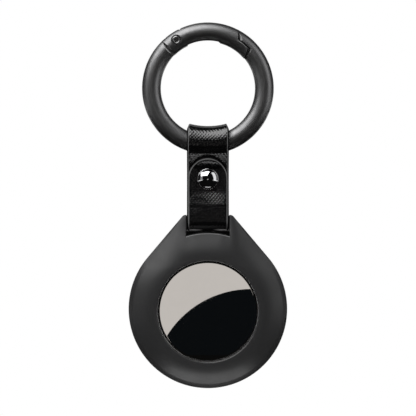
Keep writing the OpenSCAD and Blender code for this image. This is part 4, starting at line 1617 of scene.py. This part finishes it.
@dataclass
class Studio:
    """The floor, the lamps, the dark and pale things that the metal reflects, the world and the camera."""

    image: int = 416
    pixels_per_mm: float = 3.765
    ring_at: Flat = (207.9, 88.3)
    lens: float = 200.0
    sensor: float = 36.0
    floor_z: float = -140.0
    hood_r: float = 800.0
    hood_open: float = 26.0
    dark: Solid = (0.004, 0.004, 0.004)
    pale_near: float = 60.0
    pale_far: float = 420.0

    def camera(self) -> None:
        """Adds the camera at the photograph's angle: straight on, level, from far away."""
        width = self.image / self.pixels_per_mm
        away = width * self.lens / self.sensor
        x = (self.image / 2 - self.ring_at[0]) / self.pixels_per_mm
        z = (self.ring_at[1] - self.image / 2) / self.pixels_per_mm
        Bench.clear()
        bpy.ops.object.camera_add(location=(x * MM, -away * MM, z * MM), rotation=(math.pi / 2, 0, 0))
        camera = bpy.context.object
        camera.data.lens = self.lens
        camera.data.sensor_width = self.sensor
        camera.data.clip_start, camera.data.clip_end = 0.01, 20
        bpy.context.scene.camera = camera

    @staticmethod
    def seen(tree: Tree) -> Socket:
        """Gives 1 where the camera, metal or glass looks, and 0 for light on a dull surface."""
        path = put(tree, "LightPath")
        mirror = maths(tree, "MAXIMUM", path.outputs["Is Glossy Ray"], path.outputs["Is Transmission Ray"])
        return maths(tree, "MAXIMUM", path.outputs["Is Camera Ray"], mirror)

    def world(self) -> None:
        """Makes a plain pale world that the camera and metals see as white."""
        world = bpy.data.worlds.new("studio_air")
        bpy.context.scene.world = world
        world.use_nodes = True
        world.cycles.sampling_method = "NONE"
        tree = world.node_tree
        tree.nodes.clear()
        soft, white = put(tree, "Background"), put(tree, "Background")
        soft.inputs["Color"].default_value = (0.35, 0.35, 0.35, 1)
        white.inputs["Color"].default_value = (1, 1, 1, 1)
        either = mixed(tree, self.seen(tree), soft, white)
        wire(tree, either.outputs[0], put(tree, "OutputWorld").inputs["Surface"])

    def floor(self) -> None:
        """Adds the plain pale floor, which holds the part's shadow and fades to white further off."""
        Bench.clear()
        bpy.ops.mesh.primitive_plane_add(size=12, location=(0, 0, self.floor_z * MM))
        floor = Bench.named("studio_floor")
        bpy.ops.object.transform_apply(location=True)
        material = new_material("pale_floor")
        tree = material.node_tree
        paper = put(tree, "BsdfDiffuse", {"Color": (0.66, 0.66, 0.66, 1)})
        white = put(tree, "Emission", {"Strength": 1.0})
        flat = put(tree, "VectorMath", operation="MULTIPLY")
        wire(tree, put(tree, "TexCoord").outputs["Object"], flat.inputs[0])
        flat.inputs[1].default_value = (1, 1, 0)
        length = put(tree, "VectorMath", operation="LENGTH")
        wire(tree, flat.outputs[0], length.inputs[0])
        fade = spread(tree, length.outputs["Value"],
                      {"From Min": self.pale_near * MM, "From Max": self.pale_far * MM},
                      interpolation_type="SMOOTHSTEP")
        either = mixed(tree, maths(tree, "MULTIPLY", self.seen(tree), fade), paper, white)
        wire(tree, either.outputs[0], put(tree, "OutputMaterial").inputs["Surface"])
        floor.data.materials.append(material)

    @staticmethod
    def reflected(piece: bpy.types.Object, colour: Solid) -> None:
        """Gives a stage piece an even colour that only shiny surfaces see."""
        material = new_material(piece.name)
        tree = material.node_tree
        glow = put(tree, "Emission", {"Color": (*colour, 1), "Strength": 1.0})
        wire(tree, glow.outputs[0], put(tree, "OutputMaterial").inputs["Surface"])
        piece.data.materials.append(material)
        piece.visible_camera = piece.visible_diffuse = piece.visible_shadow = False

    def hood(self) -> None:
        """Adds the dark hood round the part, open behind it."""
        Bench.clear()
        bpy.ops.mesh.primitive_uv_sphere_add(segments=48, ring_count=24, radius=self.hood_r * MM,
                                             rotation=(math.pi / 2, 0, 0))
        hood = Bench.named("dark_hood")
        bpy.ops.object.transform_apply(rotation=True)
        Bench.hold(hood)
        bpy.ops.object.mode_set(mode="EDIT")
        bpy.ops.mesh.select_all(action="DESELECT")
        mesh = bmesh.from_edit_mesh(hood.data)
        edge = self.hood_r * MM * math.cos(math.radians(self.hood_open))
        for vertex in mesh.verts:
            vertex.select_set(vertex.co.y > edge)
        mesh.select_flush_mode()
        bmesh.update_edit_mesh(hood.data)
        bpy.ops.mesh.delete(type="VERT")
        bpy.ops.object.mode_set(mode="OBJECT")
        self.reflected(hood, self.dark)

    def card(self, name: str, outline: Sequence[Flat], y: float, colour: Solid) -> None:
        """Adds an upright card that faces the part from in front.

        Args:
            name: The card's name.
            outline: Its corners in X and Z, in millimetres.
            y: Its place in Y.
            colour: Its colour.
        """
        self.reflected(Bench.prism(name, outline, y - 1, y), colour)

    def slab(self, name: str, half: float, z: float, depth: Flat, colour: Solid) -> None:
        """Adds a level card under the part.

        Args:
            name: The card's name.
            half: Half its width in X.
            z: Its height.
            depth: Where it starts and ends in Y.
            colour: Its colour.
        """
        outline = [(-half, z), (half, z), (half, z + 1), (-half, z + 1)]
        self.reflected(Bench.prism(name, outline, *depth), colour)

    def build(self) -> None:
        """Sets up the whole studio."""
        self.camera()
        self.world()
        self.floor()
        self.hood()
        self.slab("dark_apron", 500, self.floor_z + 1, (-780, 300), self.dark)
        self.slab("low_card", 22, -93, (-16, -5), (2.0, 2.0, 2.0))
        self.card("pale_card", [(-70, -160), (70, -160), (70, -20), (-70, -20)], -660, (0.70, 0.675, 0.65))
        self.card("dark_card", circle(112.7, 96, (49, -175.3)), -650, (0.004, 0.005, 0.006))
        Bench.clear()
        for softbox in SOFTBOXES:
            softbox.hang()
        bpy.context.scene.view_settings.view_transform = "Standard"


def main() -> None:
    """Builds the studio and every sub-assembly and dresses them."""
    logging.basicConfig(level=logging.INFO, format="%(name)s: %(message)s")
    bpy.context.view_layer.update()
    Studio().build()
    made: list[bpy.types.Object] = []
    for assembly in (GateRing(), Strap(), Case(), CoinTracker()):
        assembly.build()
        for name, piece in assembly.pieces.items():
            log.info("%s: %s, %d faces", type(assembly).__name__, piece.name, len(piece.data.polygons))
            made.append(piece)
    Dresser().dress_all(made)


if __name__ == "__main__":
    main()
